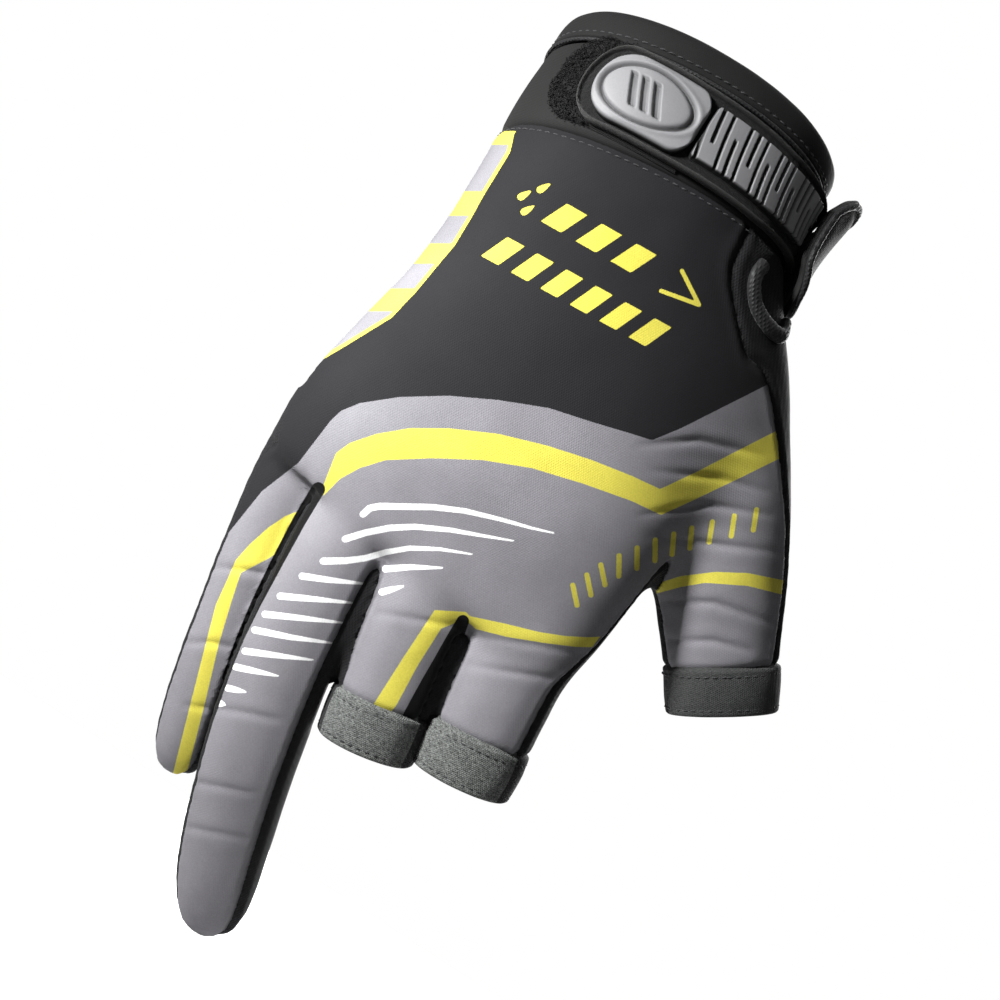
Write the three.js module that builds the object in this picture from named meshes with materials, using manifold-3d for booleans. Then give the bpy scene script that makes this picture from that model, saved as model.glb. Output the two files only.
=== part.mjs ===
// A right-hand fishing glove in the form it has when worn, fingers down and the back of the hand towards
// -Y. Ring finger and little finger are closed; thumb, index and middle finger end in short hems. Units
// are millimetres, +Z is up, +X is the thumb side, and the origin is the centre of the wrist opening.
import * as THREE from "three";
import { mergeVertices } from "three/addons/utils/BufferGeometryUtils.js";
import Module from "manifold-3d";

const wasm = await Module();
wasm.setup();

// Walls and gaps
const CLOTH = 1.4;
const CUFF_WALL = 2.6;
const HEM_PROUD = 0.5;
const SEAM_GAP = 0.3;

// The hand's part of the glove, from the rim to the finger webs
const HAND_LENGTH = 117.5;
const PALM_WIDTH = 82;
const CUFF_SHARE = 0.215;
const CUFF_HEM_SHARE = 0.052;

// Hems at the cut ends of the fingers
const FINGER_HEM = 10.5;
const THUMB_HEM = 10;

// Strap, its moulded plate and the loop patch under its end
const STRAP_START = -40;
const STRAP_END = 90;
const STRAP_WIDTH = 17;
const STRAP_THICKNESS = 1.6;
const PLATE_START = -34;
const OVAL_END = 6;
const PLATE_END = 69;
const PLATE_WIDTH = 13.2;
const PLATE_THICKNESS = 1.3;
const RELIEF = 0.8;
const PATCH_START = -54;
const PATCH_END = 6;
const PATCH_WIDTH = 17.5;
const PATCH_THICKNESS = 0.9;

// Binding of the vent and the side flap that covers the strap's end
const BINDING_RADIUS = 1.4;
const FLAP_THICKNESS = 2.2;

const RAD = Math.PI / 180;

// Sections from the rim to the webs. down and rise are shares of HAND_LENGTH; across, wide and deep are
// shares of PALM_WIDTH; pitch tilts a section towards the back of the hand and roll towards the thumb;
// square is the exponent of its outline; left and right are the angles of the back panel's seams from
// the dorsal line.
const HAND_SECTIONS = [
  { down: 0.0, across: 0.0, rise: 0.0, wide: 0.812, deep: 0.622, pitch: 22, roll: 2,
    square: 2.1, left: -90, right: 42 },
  { down: 0.215, across: 0.006, rise: 0.083, wide: 0.812, deep: 0.59, pitch: 14, roll: 6.5,
    square: 2.15, left: -90, right: 43 },
  { down: 0.298, across: 0.029, rise: 0.11, wide: 0.841, deep: 0.56, pitch: 12, roll: 6,
    square: 2.15, left: -92, right: 40 },
  { down: 0.383, across: 0.056, rise: 0.132, wide: 0.883, deep: 0.524, pitch: 10, roll: 5,
    square: 2.2, left: -94, right: 52 },
  { down: 0.528, across: 0.077, rise: 0.162, wide: 0.944, deep: 0.476, pitch: 7, roll: 3,
    square: 2.3, left: -95, right: 78 },
  { down: 0.681, across: 0.066, rise: 0.187, wide: 0.99, deep: 0.427, pitch: 4, roll: 0,
    square: 2.4, left: -94, right: 84 },
  { down: 0.826, across: 0.051, rise: 0.203, wide: 1.01, deep: 0.39, pitch: 1, roll: -3,
    square: 2.5, left: -90, right: 80 },
  { down: 0.918, across: 0.044, rise: 0.208, wide: 0.995, deep: 0.32, pitch: 0, roll: -6,
    square: 2.7, left: -84, right: 76 },
  { down: 0.998, across: 0.034, rise: 0.212, wide: 0.935, deep: 0.25, pitch: -1, roll: -8,
    square: 2.9, left: -80, right: 72 },
];

// Sections along a finger: at is a share of its length from the web, girth a share of its width and
// depth, left and right are the angles of the back panel's seams from the dorsal line.
const CLOSED_FINGER = [
  { at: -0.2, girth: 0.72, left: -74, right: 46 },
  { at: 0.0, girth: 0.97, left: -74, right: 46 },
  { at: 0.2, girth: 1.0, left: -74, right: 46 },
  { at: 0.45, girth: 0.98, left: -74, right: 46 },
  { at: 0.65, girth: 0.94, left: -74, right: 45 },
  { at: 0.8, girth: 0.88, left: -74, right: 44 },
  { at: 0.89, girth: 0.8, left: -74, right: 44 },
  { at: 0.945, girth: 0.67, left: -74, right: 44 },
  { at: 0.98, girth: 0.46, left: -74, right: 44 },
  { at: 1.0, girth: 0.16, left: -74, right: 44 },
];
const OPEN_FINGER = [
  { at: -0.5, girth: 0.92, left: -64, right: 52 },
  { at: 0.0, girth: 1.0, left: -64, right: 52 },
  { at: 0.35, girth: 1.0, left: -64, right: 52 },
  { at: 0.7, girth: 0.98, left: -64, right: 52 },
  { at: 1.0, girth: 0.95, left: -64, right: 52 },
];
const OPEN_THUMB = [
  { at: -0.3, girth: 0.94, left: -80, right: 2 },
  { at: -0.16, girth: 1.13, left: -80, right: 14 },
  { at: 0.0, girth: 1.28, left: -80, right: 36 },
  { at: 0.2, girth: 1.3, left: -80, right: 52 },
  { at: 0.45, girth: 1.28, left: -78, right: 66 },
  { at: 0.62, girth: 1.2, left: -74, right: 68 },
  { at: 0.78, girth: 1.09, left: -72, right: 64 },
  { at: 0.89, girth: 1.02, left: -72, right: 60 },
  { at: 1.0, girth: 0.98, left: -72, right: 58 },
];

// Fingers and thumb. across is a share of PALM_WIDTH, down and rise are shares of HAND_LENGTH; lean is
// the angle towards the thumb side at the web and sway the share of the length by which it bends on;
// slope and curl do the same towards the palm.
const FINGERS = [
  { name: "little", across: -0.359, rise: 0.172, down: 0.953, length: 71.5, width: 16.2, depth: 15.8,
    lean: 8.2, sway: 0.03, slope: 0.12, curl: 0.16, rows: CLOSED_FINGER },
  { name: "ring", across: -0.159, rise: 0.214, down: 0.963, length: 95, width: 20.4, depth: 18.8,
    lean: 2.6, sway: 0.172, slope: 0.02, curl: 0.22, rows: CLOSED_FINGER },
  { name: "middle", across: 0.087, rise: 0.216, down: 0.979, length: 39.6, width: 20.4, depth: 19.2,
    lean: 10.3, sway: 0, slope: 0.05, curl: 0.06, rows: OPEN_FINGER, hem: FINGER_HEM },
  { name: "index", across: 0.376, rise: 0.208, down: 0.979, length: 34.2, width: 22, depth: 19.6,
    lean: 7.5, sway: 0, slope: 0.05, curl: 0.05, rows: OPEN_FINGER, hem: FINGER_HEM },
  { name: "thumb", across: 0.422, rise: 0.117, down: 0.403, length: 72, width: 23.8, depth: 21, lean: 34,
    sway: 0, slope: 0.05, curl: 0, rows: OPEN_THUMB, hem: THUMB_HEM },
];

// The strap's line: turn round the wrist in degrees, down as a share of HAND_LENGTH.
const STRAP_ROUTE = [
  { turn: -60, down: 0.135 },
  { turn: -30, down: 0.14 },
  { turn: 0, down: 0.15 },
  { turn: 40, down: 0.16 },
  { turn: 90, down: 0.165 },
];

// The vent's binding: turn round the wrist in degrees, down as a share of HAND_LENGTH, off in
// millimetres clear of the wrist's wall, where the root of the thumb swells under it.
const BINDING_ROUTE = [
  { turn: 54, down: 0.257, off: 0.3 },
  { turn: 51, down: 0.278, off: 0.4 },
  { turn: 51, down: 0.3, off: 0.6 },
  { turn: 55, down: 0.324, off: 1.0 },
  { turn: 63, down: 0.338, off: 2.4 },
  { turn: 72, down: 0.334, off: 3.6 },
  { turn: 80, down: 0.306, off: 3.2 },
];

// Sections across the side flap, from its edge over the strap to the palm side. turn is in degrees, high
// and low are millimetres outside the cuff at its top and its foot, top and foot are shares of
// HAND_LENGTH under the rim.
const FLAP_SECTIONS = [
  { turn: 68, high: 5.2, low: 5.2, top: 0.105, foot: 0.2 },
  { turn: 74, high: 6.0, low: 5.0, top: 0.05, foot: 0.245 },
  { turn: 82, high: 6.6, low: 4.4, top: 0.025, foot: 0.265 },
  { turn: 91, high: 6.4, low: 4.2, top: 0.03, foot: 0.27 },
  { turn: 101, high: 4.9, low: 3.4, top: 0.05, foot: 0.26 },
  { turn: 112, high: 2.6, low: 2.0, top: 0.075, foot: 0.24 },
  { turn: 122, high: 0.5, low: 0.5, top: 0.09, foot: 0.22 },
];

const mix = (a, b, t) => a + (b - a) * t;

// The value of a column at x in a table sorted by its key, by straight interpolation.
function lookUp(table, key, x, column) {
  let i = table.findIndex((row) => row[key] >= x);
  if (i < 0) i = table.length - 1;
  i = Math.max(i, 1);
  const a = table[i - 1];
  const b = table[i];
  return mix(a[column], b[column], (x - a[key]) / (b[key] - a[key]));
}

// A superellipse across the direction `along`, with its dorsal side towards -Y and its side towards +X.
function ring(centre, along, wide, deep, square) {
  const tip = along.clone().normalize();
  const back = new THREE.Vector3(0, -1, 0).addScaledVector(tip, tip.y).normalize();
  const side = new THREE.Vector3().crossVectors(back, tip);
  return { centre, tip, back, side, wide, deep, square };
}

// A point at an angle from the dorsal line of a ring, `off` millimetres outside its wall.
function onRing(r, degrees, off = 0) {
  const power = 2 / r.square;
  const s = Math.sin(degrees * RAD);
  const c = Math.cos(degrees * RAD);
  const x = (r.wide + off) * Math.sign(s) * Math.abs(s) ** power;
  const y = (r.deep + off) * Math.sign(c) * Math.abs(c) ** power;
  return r.centre.clone().addScaledVector(r.side, x).addScaledVector(r.back, y);
}

// A direction that points down, tilted by pitch towards the back of the hand and by roll towards the
// thumb.
function downwards(pitch, roll) {
  const tip = new THREE.Vector3(Math.sin(roll * RAD), -Math.sin(pitch * RAD), -Math.cos(pitch * RAD));
  return tip.normalize();
}

// A place under the middle of the rim, from shares of the palm's width and of the hand's length.
function place(across, rise, down) {
  return new THREE.Vector3(across * PALM_WIDTH, -rise * HAND_LENGTH, -down * HAND_LENGTH);
}

// The ring round the hand at a share of its length under the rim.
function handRing(down) {
  const at = (column) => lookUp(HAND_SECTIONS, "down", down, column);
  const made = ring(
    place(at("across"), at("rise"), down),
    downwards(at("pitch"), at("roll")),
    (at("wide") * PALM_WIDTH) / 2,
    (at("deep") * PALM_WIDTH) / 2,
    at("square"),
  );
  return { ...made, left: at("left"), right: at("right") };
}

// The ring round a finger at a share of its length from the web, drawn in by `reach` along the finger.
function fingerRing(finger, share, reach) {
  const girth = lookUp(finger.rows, "at", share, "girth");
  const at = share * reach;
  const run = Math.max(at, 0);
  const lean = finger.lean * RAD;
  const step = new THREE.Vector3(
    at * Math.sin(lean) + run * run * finger.sway,
    at * finger.slope + run * run * finger.curl,
    -at * Math.cos(lean),
  );
  const along = new THREE.Vector3(
    Math.sin(lean) + 2 * run * finger.sway,
    finger.slope + 2 * run * finger.curl,
    -Math.cos(lean),
  );
  const centre = place(finger.across, finger.rise, finger.down).addScaledVector(step, finger.length);
  const made = ring(centre, along, (finger.width / 2) * girth, (finger.depth / 2) * girth, 2.15);
  return {
    ...made,
    left: lookUp(finger.rows, "at", share, "left"),
    right: lookUp(finger.rows, "at", share, "right"),
  };
}

// The rings of a finger between two shares of its length; a closed tip is drawn in by `wall`.
function fingerRings(finger, from, to, wall = 0) {
  const reach = finger.hem ? 1 : 1 - wall / finger.length;
  const stations = finger.rows.map((row) => row.at).filter((at) => at > from + 0.01 && at < to - 0.01);
  return [from, ...stations, to].map((at) => fingerRing(finger, at, reach));
}

// The rings of the hand between two shares of its length.
function handRings(from, to) {
  const between = (down) => down > from + 0.01 && down < to - 0.01;
  const stations = HAND_SECTIONS.map((row) => row.down).filter(between);
  return [from, ...stations, to].map(handRing);
}

// A manifold-3d solid from points and triangles, turned so that its faces point out.
function toSolid(points, faces) {
  const geometry = new THREE.BufferGeometry().setFromPoints(points);
  geometry.setIndex(faces);
  const merged = mergeVertices(geometry, 1e-3);
  const build = (triVerts) =>
    new wasm.Manifold(
      new wasm.Mesh({ numProp: 3, vertProperties: merged.attributes.position.array, triVerts }),
    );
  const order = new Uint32Array(merged.index.array);
  const made = build(order);
  return made.volume() > 0 ? made : build(order.toReversed());
}

// A closed surface through loops of points of equal number, with both ends closed round their centres.
function loft(loops) {
  const size = loops[0].length;
  const points = loops.flat();
  const centre = (loop) =>
    loop.reduce((sum, p) => sum.add(p), new THREE.Vector3()).divideScalar(loop.length);
  const first = points.length;
  points.push(centre(loops[0]), centre(loops.at(-1)));
  const faces = [];
  for (let i = 0; i < size; i++) {
    const j = (i + 1) % size;
    for (let k = 0; k < loops.length - 1; k++) {
      const a = k * size;
      const b = a + size;
      faces.push(a + i, b + i, a + j, a + j, b + i, b + j);
    }
    const last = (loops.length - 1) * size;
    faces.push(first, i, j, first + 1, last + j, last + i);
  }
  return toSolid(points, faces);
}

// A tube through rings, `off` millimetres outside them.
function tube(rings, sides, off = 0) {
  const turns = Array.from({ length: sides }, (_, i) => (360 * i) / sides);
  return loft(rings.map((r) => turns.map((degrees) => onRing(r, degrees, off))));
}

// The slice of a tube between the panel's seams, from its centre line to `reach` millimetres outside.
function slice(rings, steps, reach, gap = 0) {
  return loft(
    rings.map((r) => {
      const widen = gap / r.wide / RAD;
      const from = r.left - widen;
      const to = r.right + widen;
      const arc = Array.from({ length: steps + 1 }, (_, i) => onRing(r, mix(from, to, i / steps), reach));
      return [r.centre.clone().addScaledVector(r.back, -gap), ...arc];
    }),
  );
}

// A sheet that lies on a surface: pointAt(u, v, off) with u along and v across, from `low` to `high`
// outside it.
function sheet(pointAt, along, across, low, high) {
  const shares = Array.from({ length: across + 1 }, (_, k) => k / across);
  const loops = Array.from({ length: along + 1 }, (_, i) => {
    const u = i / along;
    const under = shares.map((v) => pointAt(u, v, low));
    const over = shares.toReversed().map((v) => pointAt(u, v, high));
    return [...under, ...over];
  });
  return loft(loops);
}

const unite = (solids) => solids.reduce((sum, solid) => sum.add(solid));

// The largest body of a solid: what a cut leaves loose is an offcut.
const largest = (solid) => solid.decompose().reduce((a, b) => (a.volume() > b.volume() ? a : b));

const HAND_SIDES = 44;
const FINGER_SIDES = 22;
const SLICE_STEPS = 12;
const SMOOTHING = 0.04;
const GAP_SHARE = SEAM_GAP / HAND_LENGTH;

// The limbs of the glove's shell: the palm and each finger, with the rings of the outside and of the
// hollow.
const limbs = [
  {
    sides: HAND_SIDES,
    outside: handRings(CUFF_SHARE + GAP_SHARE, HAND_SECTIONS.at(-1).down),
    hollow: handRings(CUFF_SHARE - 0.02, HAND_SECTIONS.at(-1).down - CLOTH / HAND_LENGTH),
  },
  ...FINGERS.map((finger) => {
    const root = finger.rows[0].at;
    return {
      sides: FINGER_SIDES,
      outside: fingerRings(finger, root, finger.hem ? 1 - finger.hem / finger.length : 1),
      hollow: fingerRings(finger, root + 0.02, 1, CLOTH),
    };
  }),
];

const hollow = unite(limbs.map((limb) => tube(limb.hollow, limb.sides, -CLOTH)));

// The printed panel over the back of the hand and of every finger.
function backPanel() {
  const parts = limbs.map((limb) =>
    tube(limb.outside, limb.sides).intersect(slice(limb.outside, SLICE_STEPS, 2 * CLOTH)),
  );
  return largest(unite(parts).subtract(hollow));
}

// Rings with the first and the last moved outwards along the limb.
function stretched(rings, by) {
  const moved = (r, way) => ({ ...r, centre: r.centre.clone().addScaledVector(r.tip, way * by) });
  return [moved(rings[0], -1), ...rings.slice(1, -1), moved(rings.at(-1), 1)];
}

// The black panel of the palm and the finger sides, which leaves a seam's gap all round the back panel.
function palmPanel() {
  const whole = unite(limbs.map((limb) => tube(limb.outside, limb.sides)));
  const cover = limbs.map((limb) => {
    const rings = stretched(limb.outside, SEAM_GAP);
    return tube(rings, limb.sides, SEAM_GAP).intersect(slice(rings, SLICE_STEPS, 2 * CLOTH, SEAM_GAP));
  });
  return largest(whole.subtract(unite(cover)).subtract(hollow));
}

// The folded band at the cut end of a finger.
function fingerHem(finger) {
  const from = 1 - (finger.hem - SEAM_GAP) / finger.length;
  const over = CLOTH / finger.length;
  const band = tube(fingerRings(finger, from, 1), FINGER_SIDES, HEM_PROUD);
  return band.subtract(tube(fingerRings(finger, from - over, 1 + over), FINGER_SIDES, -CLOTH));
}

// A length of the cuff between two shares of the hand's length.
function cuffBand(from, to, off) {
  const over = 0.02;
  const bore = [handRing(from - over), ...handRings(from, to), handRing(to + over)];
  return tube(handRings(from, to), HAND_SIDES, off).subtract(tube(bore, HAND_SIDES, -CUFF_WALL));
}

// A point at a turn round the wrist, `aside` millimetres below the strap's line and `off` outside the
// cuff.
function strapPoint(turn, aside, off) {
  const down = lookUp(STRAP_ROUTE, "turn", turn, "down") + aside / HAND_LENGTH;
  return onRing(handRing(down), turn, off);
}

// A band round the wrist along the strap's line between two turns, with a round end at the start.
function wristBand(from, to, width, low, high, steps, aside = 0, across = 8) {
  const roundness = width / PALM_WIDTH / HAND_SECTIONS[0].wide / RAD;
  const pointAt = (u, v, off) => {
    const side = 2 * v - 1;
    const start = from + roundness * (1 - Math.sqrt(1 - side * side));
    return strapPoint(mix(start, to, u), (side * width) / 2 + aside, off);
  };
  return sheet(pointAt, steps, across, low, high);
}

const STRAP_LOW = SEAM_GAP + PATCH_THICKNESS + SEAM_GAP;
const STRAP_HIGH = STRAP_LOW + STRAP_THICKNESS;
const PLATE_LOW = STRAP_HIGH + SEAM_GAP;
const PLATE_HIGH = PLATE_LOW + PLATE_THICKNESS;

// The moulded plate on the strap: a base, an oval boss and slanted ribs on the narrower part.
function strapPlate() {
  const oval = wristBand(PLATE_START, OVAL_END, PLATE_WIDTH, PLATE_LOW, PLATE_HIGH, 8, -0.6);
  const tailWidth = PLATE_WIDTH * 0.82;
  const tail = wristBand(OVAL_END - 18, PLATE_END, tailWidth, PLATE_LOW, PLATE_HIGH - 0.4, 14, -0.6, 4);
  const boss = sheet(
    (u, v, off) => {
      const half = Math.sqrt(Math.max(1 - (2 * u - 1) ** 2, 0.002)) * (2 * v - 1);
      return strapPoint(mix(PLATE_START + 4, OVAL_END - 4, u), half * PLATE_WIDTH * 0.36 - 0.6, off);
    },
    12,
    3,
    PLATE_LOW + 0.5,
    PLATE_HIGH + RELIEF,
  );
  const ribs = Array.from({ length: 7 }, (_, i) => {
    const turn = mix(OVAL_END + 6, PLATE_END - 5, i / 6);
    return sheet(
      (u, v, off) => {
        const slant = mix(-1.7, 1.7, v) + mix(2.5, -2.5, u);
        return strapPoint(turn + slant, mix(-0.36, 0.36, u) * PLATE_WIDTH - 0.6, off);
      },
      2,
      1,
      PLATE_LOW + 0.3,
      PLATE_HIGH + 0.4,
    );
  });
  return unite([oval, tail, boss, ...ribs]);
}

// The cord that edges the vent on the thumb side, half round and clear of the wall.
function ventBinding() {
  const pointAt = (row) => onRing(handRing(row.down), row.turn, row.off + BINDING_RADIUS);
  const points = BINDING_ROUTE.map(pointAt);
  const curve = new THREE.CatmullRomCurve3(points);
  const steps = 22;
  const loops = Array.from({ length: steps + 1 }, (_, i) => {
    const centre = curve.getPointAt(i / steps);
    const r = ring(centre, curve.getTangentAt(i / steps), BINDING_RADIUS, BINDING_RADIUS, 2);
    return Array.from({ length: 8 }, (_, k) => onRing(r, 45 * k));
  });
  return loft(loops);
}

// The flap of the cuff's palm side, which stands off the wrist and covers the end of the strap.
function sideFlap() {
  const pointAt = (u, v, off) => {
    const x = mix(0, FLAP_SECTIONS.length - 1, u);
    const rows = FLAP_SECTIONS.map((row, index) => ({ ...row, index }));
    const at = (column) => lookUp(rows, "index", x, column);
    const down = mix(at("top"), at("foot"), v);
    return onRing(handRing(down), at("turn"), mix(at("high"), at("low"), v ** 2) + off);
  };
  return sheet(pointAt, 12, 6, 0, FLAP_THICKNESS);
}

const parts = {
  back_panel: [backPanel(), 0x6f6e73, 0.75],
  palm_panel: [palmPanel(), 0x0c0c0d, 0.7],
  cuff: [cuffBand(CUFF_HEM_SHARE + GAP_SHARE, CUFF_SHARE, 0), 0x151517, 0.8],
  cuff_hem: [cuffBand(0, CUFF_HEM_SHARE, HEM_PROUD), 0x1b1b1d, 0.7],
  loop_patch: [
    wristBand(PATCH_START, PATCH_END, PATCH_WIDTH, SEAM_GAP, SEAM_GAP + PATCH_THICKNESS, 12),
    0x101011,
    0.95,
  ],
  wrist_strap: [wristBand(STRAP_START, STRAP_END, STRAP_WIDTH, STRAP_LOW, STRAP_HIGH, 24), 0x111112, 0.7],
  strap_plate: [strapPlate(), 0x8d8d93, 0.5],
  vent_binding: [ventBinding(), 0x26262a, 0.6],
  side_flap: [sideFlap(), 0x121214, 0.75],
};
for (const finger of FINGERS.filter((one) => one.hem)) {
  parts[finger.name + "_hem"] = [fingerHem(finger), 0x3c3d3d, 0.9];
}

// A solid with its near vertices joined, without the slivers that this leaves loose.
function welded(solid) {
  const { vertProperties, triVerts } = solid.setTolerance(SMOOTHING).simplify(SMOOTHING).getMesh();
  const points = Array.from({ length: vertProperties.length / 3 }, (_, i) =>
    new THREE.Vector3().fromArray(vertProperties, 3 * i),
  );
  return largest(toSolid(points, Array.from(triVerts)).setTolerance(SMOOTHING).simplify(SMOOTHING));
}

// A named mesh of a solid, with its colour and roughness.
function toMesh(name, solid, colour, roughness) {
  const made = welded(solid).getMesh();
  const geometry = new THREE.BufferGeometry();
  geometry.setAttribute("position", new THREE.BufferAttribute(made.vertProperties, 3));
  geometry.setIndex(new THREE.BufferAttribute(made.triVerts, 1));
  geometry.computeVertexNormals();
  const material = new THREE.MeshStandardMaterial({ color: colour, roughness, metalness: 0 });
  const mesh = new THREE.Mesh(geometry, material);
  mesh.name = name;
  return mesh;
}

const glove = new THREE.Group();
for (const [name, [solid, colour, roughness]] of Object.entries(parts)) {
  glove.add(toMesh(name, solid, colour, roughness));
}

export default glove;
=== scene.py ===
"""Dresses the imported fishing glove: printed stretch cloth, padded cuff, strap, flap and elastic hems.

Lengths are in millimetres until a mesh is made, then in metres. +Z runs from the fingers to the wrist opening,
the back of the hand faces -Y, and the thumb is at +X.
"""

from __future__ import annotations

import logging
from dataclasses import dataclass, field, replace
from enum import Enum
from typing import Callable, Sequence

import bpy
import numpy as np
from mathutils import Matrix, Vector

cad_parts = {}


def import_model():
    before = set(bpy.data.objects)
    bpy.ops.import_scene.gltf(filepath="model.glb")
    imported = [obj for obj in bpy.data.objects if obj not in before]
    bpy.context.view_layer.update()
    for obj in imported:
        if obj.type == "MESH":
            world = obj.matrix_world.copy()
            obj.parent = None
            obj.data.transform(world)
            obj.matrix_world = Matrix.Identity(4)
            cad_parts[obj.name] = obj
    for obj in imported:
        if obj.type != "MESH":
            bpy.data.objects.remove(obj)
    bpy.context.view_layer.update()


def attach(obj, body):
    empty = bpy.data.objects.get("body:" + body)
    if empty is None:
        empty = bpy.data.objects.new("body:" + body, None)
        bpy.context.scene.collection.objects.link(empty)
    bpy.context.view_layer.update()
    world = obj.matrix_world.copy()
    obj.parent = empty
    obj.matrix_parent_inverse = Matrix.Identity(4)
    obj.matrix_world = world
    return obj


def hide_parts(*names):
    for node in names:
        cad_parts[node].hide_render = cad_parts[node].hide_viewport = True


LOG = logging.getLogger("glove")
MM = 0.001
Colour = tuple[float, float, float]
Array = np.ndarray

HAND_LENGTH = 117.5
PALM_WIDTH = 82.0
CUFF_SHARE = 0.215
CUFF_HEM_SHARE = 0.052
CUFF_WALL = 2.6
CLOTH = 1.4
HAND_KEYS = (0.0, 0.215, 0.298, 0.383, 0.528, 0.681, 0.826, 0.918, 0.998)
# across, rise, wide, deep, pitch, roll, square, left, right
HAND_ROWS = (
    (0.0, 0.0, 0.812, 0.622, 22, 2, 2.1, -90, 42),
    (0.006, 0.083, 0.812, 0.59, 14, 6.5, 2.15, -90, 43),
    (0.029, 0.11, 0.841, 0.56, 12, 6, 2.15, -92, 40),
    (0.056, 0.132, 0.883, 0.524, 10, 5, 2.2, -94, 52),
    (0.077, 0.162, 0.944, 0.476, 7, 3, 2.3, -95, 78),
    (0.066, 0.187, 0.99, 0.427, 4, 0, 2.4, -94, 84),
    (0.051, 0.203, 1.01, 0.39, 1, -3, 2.5, -90, 80),
    (0.044, 0.208, 0.995, 0.32, 0, -6, 2.7, -84, 76),
    (0.034, 0.212, 0.935, 0.25, -1, -8, 2.9, -80, 72),
)
STRAP_TURNS = (-60.0, -30.0, 0.0, 40.0, 90.0)
STRAP_DOWNS = (0.135, 0.14, 0.15, 0.157, 0.155)
VIEW_FROM = (10.3, -700.0, -94.89)
PRINT_PLANE = -15.0
FAR = 12.0
# Columns of a tube's table of rings.
CENTRE, ALONG, SIDE, BACK = (slice(k, k + 3) for k in (0, 3, 6, 9))
WIDE, DEEP, POWER, LEFT, RIGHT = range(12, 17)


# ---------------------------------------------------------------- arithmetic on whole arrays


def unit(vectors: Array) -> Array:
    """The vectors at length one."""
    return vectors / np.maximum(np.linalg.norm(vectors, axis=-1, keepdims=True), 1e-9)


def ease(low: float, high: float, value: Array) -> Array:
    """A smooth step: 0 below low, 1 above high, 3t^2 - 2t^3 between."""
    t = np.clip((value - low) / (high - low), 0, 1)
    return t * t * (3 - 2 * t)


def quarter(t: Array) -> Array:
    """The height of a quarter circle over t from 0 to 1, sqrt(1 - (1 - t)^2), level beyond."""
    return np.sqrt(np.clip(1 - (1 - np.clip(t, 0, 1)) ** 2, 0, 1))


def through(keys: Sequence[float], rows: Sequence, at: Array) -> Array:
    """A cubic curve through the rows: each piece is a Hermite cubic whose end slopes come from its neighbours.

    Args:
        keys: Where each row stands, rising.
        rows: One row of values for each key.
        at: The places to look up.
    Returns:
        One row of values for each place.
    """
    keys, rows, at = np.asarray(keys, float), np.asarray(rows, float), np.asarray(at, float)
    slopes = np.gradient(rows, keys, axis=0)
    i = np.clip(np.searchsorted(keys, at, side="right") - 1, 0, len(keys) - 2)
    gap = (keys[i + 1] - keys[i])[..., None]
    s = np.clip((at[..., None] - keys[i][..., None]) / gap, 0, 1)
    flat = rows.reshape(len(keys), -1)
    slopes = slopes.reshape(len(keys), -1)
    made = (
        (2 * s**3 - 3 * s**2 + 1) * flat[i]
        + (s**3 - 2 * s**2 + s) * gap * slopes[i]
        + (3 * s**2 - 2 * s**3) * flat[i + 1]
        + (s**3 - s**2) * gap * slopes[i + 1]
    )
    return made[..., 0] if rows.ndim == 1 else made


def join(a: Array, b: Array, radius: Array | float) -> Array:
    """The smooth least of two distances: the lesser one, less radius/4 (1 - |a-b|/radius)^2 where they are close."""
    near = np.clip(1 - np.abs(a - b) / radius, 0, 1)
    return np.minimum(a, b) - near * near * radius / 4


def ripple(points: Array, size: float, seed: int) -> Array:
    """Smooth noise from -1 to 1: random values at the corners of cubes, eased between corners.

    Args:
        points: Places to look up.
        size: The side of a cube.
        seed: Which noise.
    Returns:
        One value for each place.
    """
    q = points / size
    cell = np.floor(q).astype(np.int64)
    f = q - cell
    f = f * f * (3 - 2 * f)
    total = np.zeros(points.shape[:-1])
    for corner in range(8):
        step = np.array([(corner >> k) & 1 for k in range(3)])
        c = cell + step
        n = (c[..., 0] * 73856093) ^ (c[..., 1] * 19349663) ^ (c[..., 2] * 83492791) ^ (seed * 40503 + 977)
        n = ((n & 0x7FFFFFFF) * 1103515245 + 12345) & 0x7FFFFFFF
        n = (((n >> 9) ^ n) * 69069 + 1) & 0xFFFFFF
        total += (n / 0x7FFFFF - 1) * np.prod(np.where(step, f, 1 - f), axis=-1)
    return total


def outline_distance(spots: Array, corners: Sequence) -> Array:
    """How far inside a closed outline each spot lies: the distance to the nearest edge, below zero outside.

    Args:
        spots: Places on the plane.
        corners: The outline's corners in order.
    Returns:
        One distance for each spot.
    """
    corners = np.asarray(corners, float)
    least = np.full(len(spots), 1e9)
    inside = np.zeros(len(spots), bool)
    for a, b in zip(corners, np.roll(corners, -1, axis=0)):
        edge = b - a
        to = spots - a
        t = np.clip(to @ edge / max(edge @ edge, 1e-9), 0, 1)
        least = np.minimum(least, np.hypot(*(to - t[:, None] * edge).T))
        crosses = (a[1] > spots[:, 1]) != (b[1] > spots[:, 1])
        rise = edge[1] if abs(edge[1]) > 1e-9 else 1e-9
        inside ^= crosses & (spots[:, 0] < a[0] + (spots[:, 1] - a[1]) * edge[0] / rise)
    return np.where(inside, least, -least)


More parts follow.
